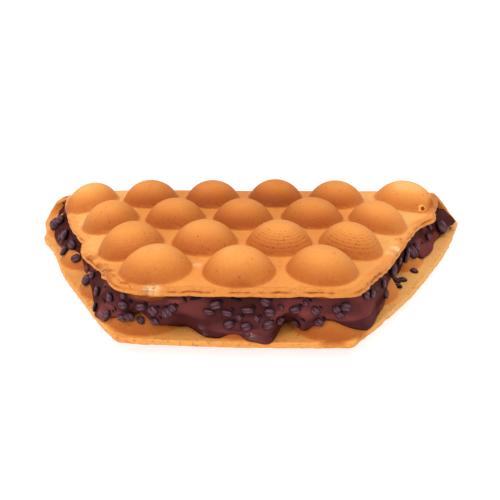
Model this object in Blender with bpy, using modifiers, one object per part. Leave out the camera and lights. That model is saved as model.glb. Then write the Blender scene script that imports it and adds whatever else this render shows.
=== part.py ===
"""Bubble waffle folded round a thick chocolate filling.

The waffle is baked as one hexagonal sheet with a ball of batter at each point of a triangular lattice,
and it is folded over along its widest row. The lower half lies on its bubbles. The upper half lies on
the filling, which runs out between the halves along the front and both sides and carries small beans.

Units are metres. +X runs along the fold, -Y is the open front edge and +Z is up.
The origin is at ground level, under the middle of the folded waffle.
"""

import math
import random
from collections import namedtuple

import bmesh
import bpy
from mathutils import Matrix, Vector

# Sheet
WEB_THICKNESS = 0.0027
LOWER_MID_Z = 0.00785
UPPER_MID_Z = 0.02985
LOWER_BACK_Y = 0.0568
UPPER_BACK_Y = 0.0468
LOWER_FRONT_Y = -0.0688
LOWER_FRONT_BOW = 0.95
LOWER_FRONT_BOW_X = 0.016
UPPER_FRONT_Y = -0.0673
UPPER_FRONT_SLOPE = -0.015

# Fold, a curve from the back of the lower half to the back of the upper half
LOWER_FOLD_HANDLE = 0.0140
UPPER_FOLD_HANDLE = 0.0140

# One side of the sheet's outline, measured outward from the middle and back from the front edge:
# x = start + slope * depth - curve * depth ** 2, with a round corner at the front edge
Side = namedtuple("Side", "start slope curve corner")
LOWER_LEFT = Side(0.0555, 0.7095, 1.42, 0.006)
LOWER_RIGHT = Side(0.0417, 0.811, 1.40, 0.004)
UPPER_LEFT = Side(0.0505, 0.602, 1.19, 0.018)
UPPER_RIGHT = Side(0.0410, 0.600, 0.75, 0.018)

# Rolled lobe that stands out of the upper half's right side
LOBE_DEPTH = 0.088
LOBE_REACH = 0.0075
LOBE_HALF_WIDTH = 0.020

# Bubbles: rows of 3, 4, 5 and 6 from the front to the back of each half
ROW_COUNTS = (3, 4, 5, 6)
ROW_STEP = math.sqrt(3.0) / 2.0
UPPER_PITCH = 0.0330
UPPER_LATTICE_X = -0.0045
UPPER_FRONT_ROW_Y = -0.0512
UPPER_RADIUS = 0.0148
UPPER_HEIGHT = 0.0102
UPPER_INNER_HEIGHT = 0.0056
LOWER_PITCH = 0.03696
LOWER_LATTICE_X = -0.0058
LOWER_FRONT_ROW_Y = -0.0517
LOWER_RADIUS = 0.0166
LOWER_HEIGHT = 0.0114
UNDERSIDE_HEIGHT = 0.0070
UNDERSIDE_PRESSED = 0.0005
# Upper bubbles off the even lattice, by number from the front left: shift in x and y, and scale
Offset = namedtuple("Offset", "x y scale")
EVEN = Offset(0.0, 0.0, 1.0)
UPPER_OFFSETS = {
    0: Offset(-0.0015, 0.0027, 1.0),
    1: Offset(-0.0008, 0.0007, 1.0),
    2: Offset(-0.0004, 0.0023, 1.0),
    17: Offset(0.0044, 0.0012, 1.10),
}
BUBBLE_SIDES = 12
UPPER_RINGS = 3
LOWER_RINGS = 2
INNER_RINGS = 1

# Bubbles stretched round the outside of the fold
FOLD_COUNT = 7
FOLD_PITCH = 0.0325
FOLD_CENTRE_X = -0.0010
FOLD_PLACE = 0.42
FOLD_HALF_WIDTH = 0.0145
FOLD_HALF_TALL = 0.0090
FOLD_RISE = 0.0050
FOLD_ROOT = 0.0010

# Grid that the sheet is bent from
SHEET_COLUMNS = 10
HALF_ROWS = 10
FOLD_ROWS = 8
FRONT_CROWDING = 1.8
FOLD_TANGENT_STEP = 0.001

# Filling
GAP = 0.0003
RIM_CORNERS = ((-0.1073, 0.0468), (-0.0525, -0.0653), (0.0435, -0.0663), (0.1030, 0.0468))
RIM_CORNER_RADIUS = 0.018
RIM_ARC_STEPS = 10
TOP_INSET = 0.0022
FOOT_FLARE = 1.3
BASE_REACH = -0.0008
STATION_STEP = 0.0044
FOLD_CLEARANCE = 0.0010
FOLD_SAMPLES = 60
BACK_CORNER = 0.008
FILLING_LEVELS = (0.0, 0.2, 0.45, 0.75, 1.0)

# Tongues and notches of the filling's foot: station along the rim, reach past the rim, half width
Tongue = namedtuple("Tongue", "station reach half_width")
TONGUES = (
    Tongue(0.018, 0.0070, 0.024),
    Tongue(0.098, 0.0032, 0.011),
    Tongue(0.130, -0.0063, 0.006),
    Tongue(0.148, -0.0080, 0.006),
    Tongue(0.164, 0.0010, 0.008),
    Tongue(0.179, 0.0030, 0.008),
    Tongue(0.189, -0.0145, 0.004),
    Tongue(0.203, -0.0026, 0.009),
    Tongue(0.272, -0.0038, 0.015),
    Tongue(0.310, 0.0058, 0.015),
    Tongue(0.344, 0.0092, 0.018),
)

# Beans
BEAN_LONG = 0.0050
BEAN_WIDE = 0.0036
BEAN_THICK = 0.0029
BEAN_SIDES = 6
BEAN_RINGS = 4
BEAN_SPACING = 0.0056
BEAN_CLEARANCE = 0.0006
FILLING_BEANS = 44
RIM_BEANS = 7
BEAN_LEVELS = (0.1, 0.9)
BEAN_SURFACE_STEP = 0.01
RIM_BEAN_SPREAD = 4.0
BEAN_TRIES = 4000
BEAN_SEED = 11

# Edges sharper than this stay crisp in the shading
SHARP_ANGLE = math.radians(40.0)

# Looks
WAFFLE_COLOUR = (0.80, 0.36, 0.10, 1.0)
WAFFLE_ROUGHNESS = 0.6
CHOCOLATE_COLOUR = (0.055, 0.012, 0.010, 1.0)
CHOCOLATE_ROUGHNESS = 0.25


def clear_scene():
    """Remove every object and collection of the open file."""
    for item in list(bpy.data.objects):
        bpy.data.objects.remove(item, do_unlink=True)
    for collection in list(bpy.data.collections):
        bpy.data.collections.remove(collection)


def new_collection(name):
    """Return a new collection in the scene."""
    collection = bpy.data.collections.new(name)
    bpy.context.scene.collection.children.link(collection)
    return collection


def new_object(name, mesh, collection, helper=False):
    """Return a new object; a helper is drawn as wire and left out of renders."""
    item = bpy.data.objects.new(name, mesh)
    collection.objects.link(item)
    if helper:
        item.hide_render = True
        item.display_type = "WIRE"
    return item


def mesh_from(bm, name):
    """Return a mesh made from a bmesh, which is freed."""
    mesh = bpy.data.meshes.new(name)
    bm.to_mesh(mesh)
    bm.free()
    return mesh


def apply_modifiers(item):
    """Replace an object's mesh by the mesh that its modifiers make."""
    graph = bpy.context.evaluated_depsgraph_get()
    mesh = bpy.data.meshes.new_from_object(item.evaluated_get(graph))
    item.modifiers.clear()
    item.data = mesh


def remove_collection(collection):
    """Remove a helper collection with its objects."""
    for item in list(collection.objects):
        bpy.data.objects.remove(item, do_unlink=True)
    bpy.data.collections.remove(collection)


def join_boolean(item, operation, collection, solver="EXACT"):
    """Cut or join an object with every object of a collection.

    The filling takes the MANIFOLD solver, because EXACT leaves edges there that four faces share.
    """
    modifier = item.modifiers.new(operation.title(), "BOOLEAN")
    modifier.operation = operation
    modifier.operand_type = "COLLECTION"
    modifier.collection = collection
    modifier.solver = solver
    apply_modifiers(item)


def keep_largest_body(item):
    """Drop the loose scraps and the sealed hollows that cutting and joining leave."""
    bm = bmesh.new()
    bm.from_mesh(item.data)
    unseen = set(bm.verts)
    bodies = []
    while unseen:
        stack = [unseen.pop()]
        body = list(stack)
        while stack:
            vertex = stack.pop()
            for edge in vertex.link_edges:
                other = edge.other_vert(vertex)
                if other in unseen:
                    unseen.remove(other)
                    stack.append(other)
                    body.append(other)
        bodies.append(body)
    bodies.sort(key=len)
    for body in bodies[:-1]:
        bmesh.ops.delete(bm, geom=body, context="VERTS")
    bm.to_mesh(item.data)
    bm.free()


def make_material(name, colour, roughness):
    """Return a Principled material of one food."""
    material = bpy.data.materials.new(name)
    material.use_nodes = True
    shader = material.node_tree.nodes["Principled BSDF"]
    shader.inputs["Base Color"].default_value = colour
    shader.inputs["Roughness"].default_value = roughness
    shader.inputs["Metallic"].default_value = 0.0
    material.diffuse_color = colour
    return material


def dress(item, material):
    """Give an object its only material and smooth shading."""
    item.data.materials.clear()
    item.data.materials.append(material)
    item.data.shade_smooth()
    item.data.set_sharp_from_angle(angle=SHARP_ANGLE)


def smooth_step(value):
    """Return a smooth rise from 0 to 1."""
    value = min(1.0, max(0.0, value))
    return value * value * (3.0 - 2.0 * value)


def side_reach(side, depth):
    """Return how far the outline stands out at a depth behind the front edge."""
    root = math.hypot(1.0, side.slope)
    if depth < side.corner * (1.0 - side.slope / root):
        centre = side.start + side.corner * (side.slope - root)
        return centre + math.sqrt(side.corner ** 2 - (side.corner - depth) ** 2)
    return side.start + side.slope * depth - side.curve * depth ** 2


def upper_right_reach(depth):
    """Return how far the upper half's right side stands out, with its rolled lobe."""
    lobe = LOBE_REACH * math.exp(-((depth - LOBE_DEPTH) / LOBE_HALF_WIDTH) ** 2)
    return side_reach(UPPER_RIGHT, depth) + lobe


def lower_y(x, depth):
    """Return y on the lower half at a nominal depth, with the front edge bowed."""
    front = LOWER_FRONT_Y + LOWER_FRONT_BOW * (x - LOWER_FRONT_BOW_X) ** 2
    nominal = LOWER_BACK_Y - LOWER_FRONT_Y
    return LOWER_BACK_Y - (nominal - depth) * (LOWER_BACK_Y - front) / nominal


def upper_y(x, depth):
    """Return y on the upper half at a nominal depth, with the front edge askew."""
    front = UPPER_FRONT_Y + UPPER_FRONT_SLOPE * x
    nominal = UPPER_BACK_Y - UPPER_FRONT_Y
    return UPPER_BACK_Y - (nominal - depth) * (UPPER_BACK_Y - front) / nominal


def fold_point(place):
    """Return y and z of the fold's mid-surface, from 0 at the lower half to 1 at the upper half."""
    corners = (
        Vector((LOWER_BACK_Y, LOWER_MID_Z)),
        Vector((LOWER_BACK_Y + LOWER_FOLD_HANDLE, LOWER_MID_Z)),
        Vector((UPPER_BACK_Y + UPPER_FOLD_HANDLE, UPPER_MID_Z)),
        Vector((UPPER_BACK_Y, UPPER_MID_Z)),
    )
    rest = 1.0 - place
    weights = (rest ** 3, 3.0 * place * rest ** 2, 3.0 * place ** 2 * rest, place ** 3)
    return sum((corner * weight for corner, weight in zip(corners, weights)), Vector((0.0, 0.0)))


def fold_normal(place):
    """Return the fold's outward direction in y and z."""
    ahead = fold_point(place + FOLD_TANGENT_STEP)
    tangent = (ahead - fold_point(place - FOLD_TANGENT_STEP)).normalized()
    return Vector((tangent.y, -tangent.x))


def across_point(left, right, across):
    """Return x between the left and right edges of the sheet."""
    return -left + (left + right) * across


def sheet_point(across, row):
    """Return a point of the sheet's mid-surface for a column share and a row number."""
    lower_depth = LOWER_BACK_Y - LOWER_FRONT_Y
    upper_depth = UPPER_BACK_Y - UPPER_FRONT_Y
    if row <= HALF_ROWS:
        depth = lower_depth * (row / HALF_ROWS) ** FRONT_CROWDING
        x = across_point(side_reach(LOWER_LEFT, depth), side_reach(LOWER_RIGHT, depth), across)
        return Vector((x, lower_y(x, depth), LOWER_MID_Z))
    if row >= HALF_ROWS + FOLD_ROWS:
        share = (2 * HALF_ROWS + FOLD_ROWS - row) / HALF_ROWS
        depth = upper_depth * share ** FRONT_CROWDING
        x = across_point(side_reach(UPPER_LEFT, depth), upper_right_reach(depth), across)
        return Vector((x, upper_y(x, depth), UPPER_MID_Z))
    place = (row - HALF_ROWS) / FOLD_ROWS
    taper = smooth_step(place)
    lower_x = across_point(
        side_reach(LOWER_LEFT, lower_depth), side_reach(LOWER_RIGHT, lower_depth), across
    )
    upper_x = across_point(
        side_reach(UPPER_LEFT, upper_depth), upper_right_reach(upper_depth), across
    )
    point = fold_point(place)
    return Vector((lower_x + (upper_x - lower_x) * taper, point.x, point.y))


def make_sheet(collection):
    """Return the folded sheet without its bubbles."""
    rows = 2 * HALF_ROWS + FOLD_ROWS
    bm = bmesh.new()
    bmesh.ops.create_grid(bm, x_segments=SHEET_COLUMNS, y_segments=rows, size=0.5)
    for vertex in bm.verts:
        across = vertex.co.x + 0.5
        row = round((vertex.co.y + 0.5) * rows)
        vertex.co = sheet_point(across, row)
    bmesh.ops.reverse_faces(bm, faces=bm.faces[:])
    sheet = new_object("waffle", mesh_from(bm, "waffle"), collection)
    wall = sheet.modifiers.new("Thickness", "SOLIDIFY")
    wall.thickness = WEB_THICKNESS
    wall.offset = 0.0
    apply_modifiers(sheet)
    return sheet


def cap_profile(radius, height, rings, grow=0.0):
    """Return a round cap's (radius, height) pairs from its pole to the sheet's mid-plane.

    Heights are measured from the sheet's surface, so the last ring is half a thickness below it.
    """
    sphere = (radius ** 2 + height ** 2) / (2.0 * height)
    centre = height - sphere
    sphere += grow
    end = math.acos(-(WEB_THICKNESS / 2.0 + centre) / sphere)
    pairs = []
    for ring in range(rings + 2):
        angle = end * ring / (rings + 1)
        pairs.append((sphere * math.sin(angle), centre + sphere * math.cos(angle)))
    return pairs


def turned_mesh(name, profile, sides):
    """Return the closed mesh of a profile turned round Z; the profile runs from top to bottom."""
    bm = bmesh.new()
    points = [bm.verts.new((radius, 0.0, height)) for radius, height in profile]
    for first, second in zip(points, points[1:]):
        bm.edges.new((first, second))
    holder = bpy.data.objects.new(name, mesh_from(bm, name))
    bpy.context.scene.collection.objects.link(holder)
    turn = holder.modifiers.new("Turn", "SCREW")
    turn.axis = "Z"
    turn.angle = math.tau
    turn.steps = sides
    turn.render_steps = sides
    turn.use_merge_vertices = True
    turn.merge_threshold = 0.00001
    apply_modifiers(holder)
    mesh = holder.data
    bpy.data.objects.remove(holder, do_unlink=True)
    return mesh


def bubble_mesh(name, radius, top, bottom, rings, pressed=0.0, grow=0.0):
    """Return a ball of batter that stands out on both sides of the sheet's mid-plane."""
    half = WEB_THICKNESS / 2.0
    upper = [(r, z + half) for r, z in cap_profile(radius, top, rings, grow)]
    lower = [(r, -z - half) for r, z in cap_profile(radius, bottom, INNER_RINGS, grow)]
    lower.reverse()
    if pressed:
        floor = pressed - bottom - half
        sphere = (radius ** 2 + bottom ** 2) / (2.0 * bottom)
        flat = math.sqrt(sphere ** 2 - (sphere - pressed) ** 2)
        lower = lower[:-1] + [(flat, floor), (0.0, floor)]
    seam = max(upper[-1][0], lower[0][0])
    return turned_mesh(name, upper[:-1] + [(seam, 0.0)] + lower[1:], BUBBLE_SIDES)


def lattice(middle_x, pitch, first_y):
    """Yield the bubble centres of one half, row by row from the front."""
    for index, count in enumerate(ROW_COUNTS):
        for place in range(count):
            x = middle_x + (place - (count - 1) / 2.0) * pitch
            yield x, first_y + index * pitch * ROW_STEP


def upper_bubbles():
    """Return the bubble centres of the upper half at its mid-plane."""
    centres = []
    for number, (x, y) in enumerate(lattice(UPPER_LATTICE_X, UPPER_PITCH, UPPER_FRONT_ROW_Y)):
        offset = UPPER_OFFSETS.get(number, EVEN)
        centres.append(Vector((x + offset.x, y + offset.y, UPPER_MID_Z)))
    return centres


def lower_bubbles():
    """Return the bubble centres of the lower half at its mid-plane."""
    centres = []
    for x, y in lattice(LOWER_LATTICE_X, LOWER_PITCH, LOWER_FRONT_ROW_Y):
        centres.append(Vector((x, lower_y(x, y - LOWER_FRONT_Y), LOWER_MID_Z)))
    return centres


def place_bubbles(collection, grow):
    """Add every bubble of both halves to a helper collection."""
    upper = bubble_mesh(
        "upper_bubble", UPPER_RADIUS, UPPER_HEIGHT, UPPER_INNER_HEIGHT, UPPER_RINGS, grow=grow
    )
    lower = bubble_mesh(
        "lower_bubble",
        LOWER_RADIUS,
        LOWER_HEIGHT,
        UNDERSIDE_HEIGHT,
        LOWER_RINGS,
        pressed=UNDERSIDE_PRESSED,
        grow=grow,
    )
    for mesh, centres, offsets in ((upper, upper_bubbles(), UPPER_OFFSETS), (lower, lower_bubbles(), {})):
        for number, centre in enumerate(centres):
            scale = offsets.get(number, EVEN).scale
            bubble = new_object(mesh.name, mesh, collection, helper=True)
            bubble.location = centre
            bubble.scale = (scale, scale, 1.0)


def place_fold_bulges(collection):
    """Add the bubbles that the fold stretches over its outer side."""
    profile = []
    for ring in range(LOWER_RINGS + 1):
        angle = math.pi / 2.0 * ring / LOWER_RINGS
        profile.append((math.sin(angle), math.cos(angle)))
    profile.append((0.0, 0.0))
    mesh = turned_mesh("fold_bulge", profile, BUBBLE_SIDES)
    middle = fold_point(FOLD_PLACE)
    outward = fold_normal(FOLD_PLACE)
    root = middle + outward * (FOLD_ROOT - WEB_THICKNESS / 2.0)
    tall = FOLD_RISE + WEB_THICKNESS - FOLD_ROOT
    turn = Vector((0.0, outward.x, outward.y)).to_track_quat("Z", "X").to_matrix().to_4x4()
    for place in range(FOLD_COUNT):
        x = FOLD_CENTRE_X + (place - (FOLD_COUNT - 1) / 2.0) * FOLD_PITCH
        bulge = new_object(mesh.name, mesh, collection, helper=True)
        size = Matrix.Diagonal((FOLD_HALF_TALL, FOLD_HALF_WIDTH, tall, 1.0))
        bulge.matrix_world = Matrix.Translation((x, root.x, root.y)) @ turn @ size


def rim_path():
    """Return the upper rim as points and lengths along it, with round front corners."""
    corners = [Vector(corner) for corner in RIM_CORNERS]
    points = [corners[0]]
    for before, corner, after in zip(corners, corners[1:], corners[2:]):
        back = (before - corner).normalized()
        ahead = (after - corner).normalized()
        half_angle = back.angle(ahead) / 2.0
        run = RIM_CORNER_RADIUS / math.tan(half_angle)
        centre = corner + (back + ahead).normalized() * RIM_CORNER_RADIUS / math.sin(half_angle)
        start = corner + back * run - centre
        sweep = start.angle_signed(corner + ahead * run - centre)
        for step in range(RIM_ARC_STEPS + 1):
            spoke = start.copy()
            spoke.rotate(Matrix.Rotation(-sweep * step / RIM_ARC_STEPS, 2))
            points.append(centre + spoke)
    points.append(corners[-1])
    lengths = [0.0]
    for first, second in zip(points, points[1:]):
        lengths.append(lengths[-1] + (second - first).length)
    return points, lengths


RIM_POINTS, RIM_LENGTHS = rim_path()
RIM_LENGTH = RIM_LENGTHS[-1]


def rim_place(station):
    """Return the rim's point and outward direction at a length along it."""
    index = 0
    while index < len(RIM_LENGTHS) - 2 and RIM_LENGTHS[index + 1] < station:
        index += 1
    along = (RIM_POINTS[index + 1] - RIM_POINTS[index]).normalized()
    point = RIM_POINTS[index] + along * (station - RIM_LENGTHS[index])
    return point, Vector((along.y, -along.x))


def foot_reach(station):
    """Return how far the filling's foot runs past the upper rim."""
    reach = BASE_REACH
    for tongue in TONGUES:
        reach += tongue.reach * math.exp(-((station - tongue.station) / tongue.half_width) ** 2)
    return reach


def wall_point(station, level):
    """Return a point of the filling's outer wall, from level 0 at its foot to 1 under the rim."""
    point, outward = rim_place(station)
    foot = (1.0 - level) ** FOOT_FLARE
    flat = point + outward * (foot_reach(station) * foot - TOP_INSET * (1.0 - foot))
    low = LOWER_MID_Z + WEB_THICKNESS / 2.0 + GAP
    high = UPPER_MID_Z - WEB_THICKNESS / 2.0 - GAP
    return Vector((flat.x, flat.y, low + (high - low) * level))


def fold_inside_y(height):
    """Return y just inside the fold at a height."""
    inside = []
    for step in range(FOLD_SAMPLES + 1):
        place = step / FOLD_SAMPLES
        point = fold_point(place) - fold_normal(place) * (WEB_THICKNESS / 2.0 + FOLD_CLEARANCE)
        inside.append((abs(point.y - height), point.x))
    return min(inside)[1]


def filling_ring(level):
    """Return the filling's outline at a level, from its left end round the front to its back."""
    height = wall_point(0.0, level).z
    back = fold_inside_y(height)
    first, second = RIM_POINTS[0], RIM_POINTS[1]
    left_end = (first.y - back) / (first - second).normalized().y
    first, second = RIM_POINTS[-1], RIM_POINTS[-2]
    right_end = RIM_LENGTH + (back - first.y) / (first - second).normalized().y
    count = round(RIM_LENGTH / STATION_STEP)
    points = []
    for step in range(count + 1):
        station = left_end + (right_end - left_end) * step / count
        point = wall_point(station, level)
        point.y = min(point.y, back)
        points.append(point)
    points.append(Vector((points[-1].x - BACK_CORNER, back, height)))
    points.append(Vector((points[0].x + BACK_CORNER, back, height)))
    return points


def make_filling(collection):
    """Return the filling's body before the bubbles are cut out of it."""
    bm = bmesh.new()
    rings = []
    for level in FILLING_LEVELS:
        verts = [bm.verts.new(point) for point in filling_ring(level)]
        edges = [bm.edges.new((first, second)) for first, second in zip(verts, verts[1:] + verts[:1])]
        rings.append((verts, edges))
    for (_, low), (_, high) in zip(rings, rings[1:]):
        bmesh.ops.bridge_loops(bm, edges=low + high)
    for verts, _ in (rings[0], rings[-1]):
        bm.faces.new(verts)
    bmesh.ops.recalc_face_normals(bm, faces=bm.faces[:])
    return new_object("filling", mesh_from(bm, "filling"), collection)


def bean_mesh():
    """Return one bean, lying along X with its crease side up."""
    bm = bmesh.new()
    bmesh.ops.create_uvsphere(bm, u_segments=BEAN_SIDES, v_segments=BEAN_RINGS, radius=0.5)
    turn = Matrix.Rotation(math.pi / 2.0, 4, "Y")
    size = Matrix.Diagonal((BEAN_LONG, BEAN_WIDE, BEAN_THICK, 1.0))
    bmesh.ops.transform(bm, matrix=size @ turn, verts=bm.verts[:])
    return mesh_from(bm, "bean")


def clear_of_bubbles(point, margin):
    """Tell whether a point keeps a margin to every bubble that faces the filling."""
    for centres, radius, height, side in (
        (lower_bubbles(), LOWER_RADIUS, LOWER_HEIGHT, 1.0),
        (upper_bubbles(), UPPER_RADIUS, UPPER_INNER_HEIGHT, -1.0),
    ):
        sphere = (radius ** 2 + height ** 2) / (2.0 * height)
        rise = side * (WEB_THICKNESS / 2.0 + height - sphere)
        for centre in centres:
            if (point - centre - Vector((0.0, 0.0, rise))).length < sphere + margin:
                return False
    return True


def far_from(point, others, distance):
    """Tell whether a point keeps a distance to all the others."""
    return all((point - other).length >= distance for other in others)


def add_bean(mesh, collection, point, normal, roll):
    """Lay one bean on a surface, half sunk, turned by a roll about the surface's normal."""
    turn = normal.to_track_quat("Z", "X").to_matrix().to_4x4()
    bean = new_object("bean", mesh, collection, helper=True)
    bean.matrix_world = Matrix.Translation(point) @ turn @ Matrix.Rotation(roll, 4, "Z")


def scatter_filling_beans(mesh, collection, chance):
    """Scatter beans over the filling's wall, clear of the waffle."""
    placed = []
    margin = BEAN_LONG / 2.0 + BEAN_CLEARANCE
    low = LOWER_MID_Z + WEB_THICKNESS / 2.0 + margin
    high = UPPER_MID_Z - WEB_THICKNESS / 2.0 - margin
    for _ in range(BEAN_TRIES):
        station = chance.uniform(0.0, RIM_LENGTH)
        level = chance.uniform(*BEAN_LEVELS)
        roll = chance.uniform(0.0, math.pi)
        point = wall_point(station, level)
        if not low < point.z < high or not far_from(point, placed, BEAN_SPACING):
            continue
        if not clear_of_bubbles(point, margin):
            continue
        along = wall_point(station + BEAN_SURFACE_STEP * RIM_LENGTH, level) - point
        upward = wall_point(station, level + BEAN_SURFACE_STEP) - point
        add_bean(mesh, collection, point, along.cross(upward).normalized(), roll)
        placed.append(point)
        if len(placed) == FILLING_BEANS:
            break


def scatter_rim_beans(mesh, collection, chance):
    """Scatter loose beans over the lower half where it shows beside the filling."""
    placed = []
    margin = BEAN_LONG / 2.0 + BEAN_CLEARANCE
    top = LOWER_MID_Z + WEB_THICKNESS / 2.0
    for _ in range(BEAN_TRIES):
        station = chance.uniform(0.0, RIM_LENGTH)
        beyond = chance.uniform(margin, RIM_BEAN_SPREAD * margin)
        roll = chance.uniform(0.0, math.pi)
        flat, outward = rim_place(station)
        flat = flat + outward * (foot_reach(station) + beyond)
        point = Vector((flat.x, flat.y, top))
        if flat.y < lower_y(flat.x, margin) or flat.y > UPPER_BACK_Y:
            continue
        depth = flat.y - LOWER_FRONT_Y
        left = margin - side_reach(LOWER_LEFT, depth)
        right = side_reach(LOWER_RIGHT, depth) - margin
        if not left < flat.x < right:
            continue
        if not far_from(point, placed, 2.0 * BEAN_SPACING) or not clear_of_bubbles(point, margin):
            continue
        add_bean(mesh, collection, point, Vector((0.0, 0.0, 1.0)), roll)
        placed.append(point)
        if len(placed) == RIM_BEANS:
            break


def main():
    """Build the waffle and its filling."""
    clear_scene()
    parts = new_collection("bubble_waffle")
    chance = random.Random(BEAN_SEED)
    bean = bean_mesh()

    filling = make_filling(parts)
    cutters = new_collection("filling_cutters")
    place_bubbles(cutters, GAP)
    join_boolean(filling, "DIFFERENCE", cutters, "MANIFOLD")
    remove_collection(cutters)
    beans = new_collection("filling_beans")
    scatter_filling_beans(bean, beans, chance)
    join_boolean(filling, "UNION", beans, "MANIFOLD")
    remove_collection(beans)
    keep_largest_body(filling)

    waffle = make_sheet(parts)
    batter = new_collection("batter")
    place_bubbles(batter, 0.0)
    place_fold_bulges(batter)
    scatter_rim_beans(bean, batter, chance)
    join_boolean(waffle, "UNION", batter)
    remove_collection(batter)
    keep_largest_body(waffle)

    dress(waffle, make_material("baked_batter", WAFFLE_COLOUR, WAFFLE_ROUGHNESS))
    dress(filling, make_material("chocolate", CHOCOLATE_COLOUR, CHOCOLATE_ROUGHNESS))


main()
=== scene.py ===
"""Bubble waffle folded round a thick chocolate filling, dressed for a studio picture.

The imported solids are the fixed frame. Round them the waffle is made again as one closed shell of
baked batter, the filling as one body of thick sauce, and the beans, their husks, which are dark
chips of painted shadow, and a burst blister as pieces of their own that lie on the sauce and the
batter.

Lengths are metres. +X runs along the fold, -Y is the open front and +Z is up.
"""

from __future__ import annotations

import logging
import math
import random
from dataclasses import dataclass
from enum import Enum
from typing import NamedTuple, Sequence

import bmesh
import bpy
import numpy as np
from mathutils import Matrix, Vector, noise
from mathutils.bvhtree import BVHTree


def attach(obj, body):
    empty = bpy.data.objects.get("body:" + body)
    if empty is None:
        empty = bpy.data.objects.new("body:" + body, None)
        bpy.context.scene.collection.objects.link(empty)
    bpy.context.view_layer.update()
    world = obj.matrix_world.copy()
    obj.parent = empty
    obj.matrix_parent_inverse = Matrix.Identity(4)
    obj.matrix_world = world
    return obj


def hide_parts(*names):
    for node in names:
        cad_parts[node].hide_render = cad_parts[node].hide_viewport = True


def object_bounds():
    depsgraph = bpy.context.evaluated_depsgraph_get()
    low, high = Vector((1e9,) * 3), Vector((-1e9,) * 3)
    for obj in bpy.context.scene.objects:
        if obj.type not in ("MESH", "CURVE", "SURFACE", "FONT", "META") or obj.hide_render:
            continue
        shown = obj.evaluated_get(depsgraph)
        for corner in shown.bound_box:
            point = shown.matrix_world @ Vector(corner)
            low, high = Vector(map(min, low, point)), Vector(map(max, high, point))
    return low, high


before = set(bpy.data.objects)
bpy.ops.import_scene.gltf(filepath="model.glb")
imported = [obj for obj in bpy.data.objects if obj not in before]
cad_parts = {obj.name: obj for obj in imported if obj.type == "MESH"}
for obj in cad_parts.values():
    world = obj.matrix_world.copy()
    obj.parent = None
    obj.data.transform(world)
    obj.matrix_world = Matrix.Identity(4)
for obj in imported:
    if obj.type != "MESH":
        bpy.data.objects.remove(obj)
CAD_LOW, CAD_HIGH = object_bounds()

LOG = logging.getLogger("bubble_waffle")
MM = 0.001

Array = np.ndarray
Pair = tuple[float, float]
Triple = tuple[float, float, float]
Colour = tuple[float, float, float, float]


def linear(hex_colour: str) -> Colour:
    """Turn an sRGB hex colour into the linear colour that a shader takes.

    Args:
        hex_colour: Six hex digits, such as "fdb766".

    Returns:
        Linear red, green and blue, with an alpha of 1.
    """
    parts = [int(hex_colour[at : at + 2], 16) / 255.0 for at in (0, 2, 4)]
    red, green, blue = [p / 12.92 if p <= 0.04045 else ((p + 0.055) / 1.055) ** 2.4 for p in parts]
    return red, green, blue, 1.0


def per_mm(size_mm: float) -> float:
    """Return a texture's Scale for a pattern that repeats every so many millimetres."""
    return 1.0 / (size_mm * MM)


def smooth(value: Array) -> Array:
    """Return a smooth rise from 0 to 1 as the value does."""
    value = np.clip(value, 0.0, 1.0)
    return value * value * (3.0 - 2.0 * value)


def ramp(value: Array, start: float, run: float) -> Array:
    """Return a smooth step: 0 at a start and 1 a run further on, or back by a negative run."""
    return smooth((value - start) / run)


def hump(value: Array, place: float, half_width: float) -> Array:
    """Return a rounded hump of height 1 round a place along a measure."""
    return np.exp(-(((value - place) / half_width) ** 2))


def soft_positive(value: Array, softness: float) -> Array:
    """Return the value where it is positive and nearly 0 elsewhere, with a rounded turn between."""
    return 0.5 * (value + np.sqrt(value * value + softness * softness))


def bezier(place: Array, stops: Sequence[Array]) -> Array:
    """Follow a cubic curve along one measure.

    Args:
        place: 0 at the first stop to 1 at the last.
        stops: The curve's four stops.

    Returns:
        The measure at each place.
    """
    rest = 1.0 - place
    weights = (rest**3, 3.0 * place * rest**2, 3.0 * place**2 * rest, place**3)
    return sum(stop * weight for stop, weight in zip(stops, weights))


def bezier_run(place: Array, stops: Sequence[Array]) -> Array:
    """Return a third of how fast the same curve changes at each place."""
    slopes = ((1.0 - place) ** 2, 2.0 * place * (1.0 - place), place**2)
    return sum((after - before) * slope for before, after, slope in zip(stops, stops[1:], slopes))


def roughness_at(axes: Sequence[Array], size: float, seed: float) -> Array:
    """Sample smooth noise at many points.

    Args:
        axes: The points' x, y and z.
        size: How far apart the lumps lie, in metres.
        seed: Offset that picks another stretch of the noise.

    Returns:
        One value from about -1 to 1 for each point.
    """
    shift = Vector((seed, -seed, 0.5 * seed))
    return np.array([noise.noise(Vector(point) / size + shift) for point in np.column_stack(axes)])


def mixed_noise(place: Vector, layers: Sequence[Pair]) -> float:
    """Return the sum of some layers of noise at a place, each with its strength and its size."""
    return sum(strength * noise.noise(place / size) for strength, size in layers)


def each(kind: type, *rows: tuple) -> tuple:
    """Return one named value of a kind for each row of its fields."""
    return tuple(kind(*row) for row in rows)


def fill_sockets(
    tree: bpy.types.NodeTree, node: bpy.types.Node, inputs: dict[str | int, object]
) -> None:
    """Link or set a node's inputs.

    Args:
        tree: The node's tree.
        node: The node.
        inputs: Socket names or numbers, each with a socket to link from or a value to set.
    """
    for key, value in inputs.items():
        if isinstance(value, bpy.types.NodeSocket):
            tree.links.new(value, node.inputs[key])
        else:
            node.inputs[key].default_value = value


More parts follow.
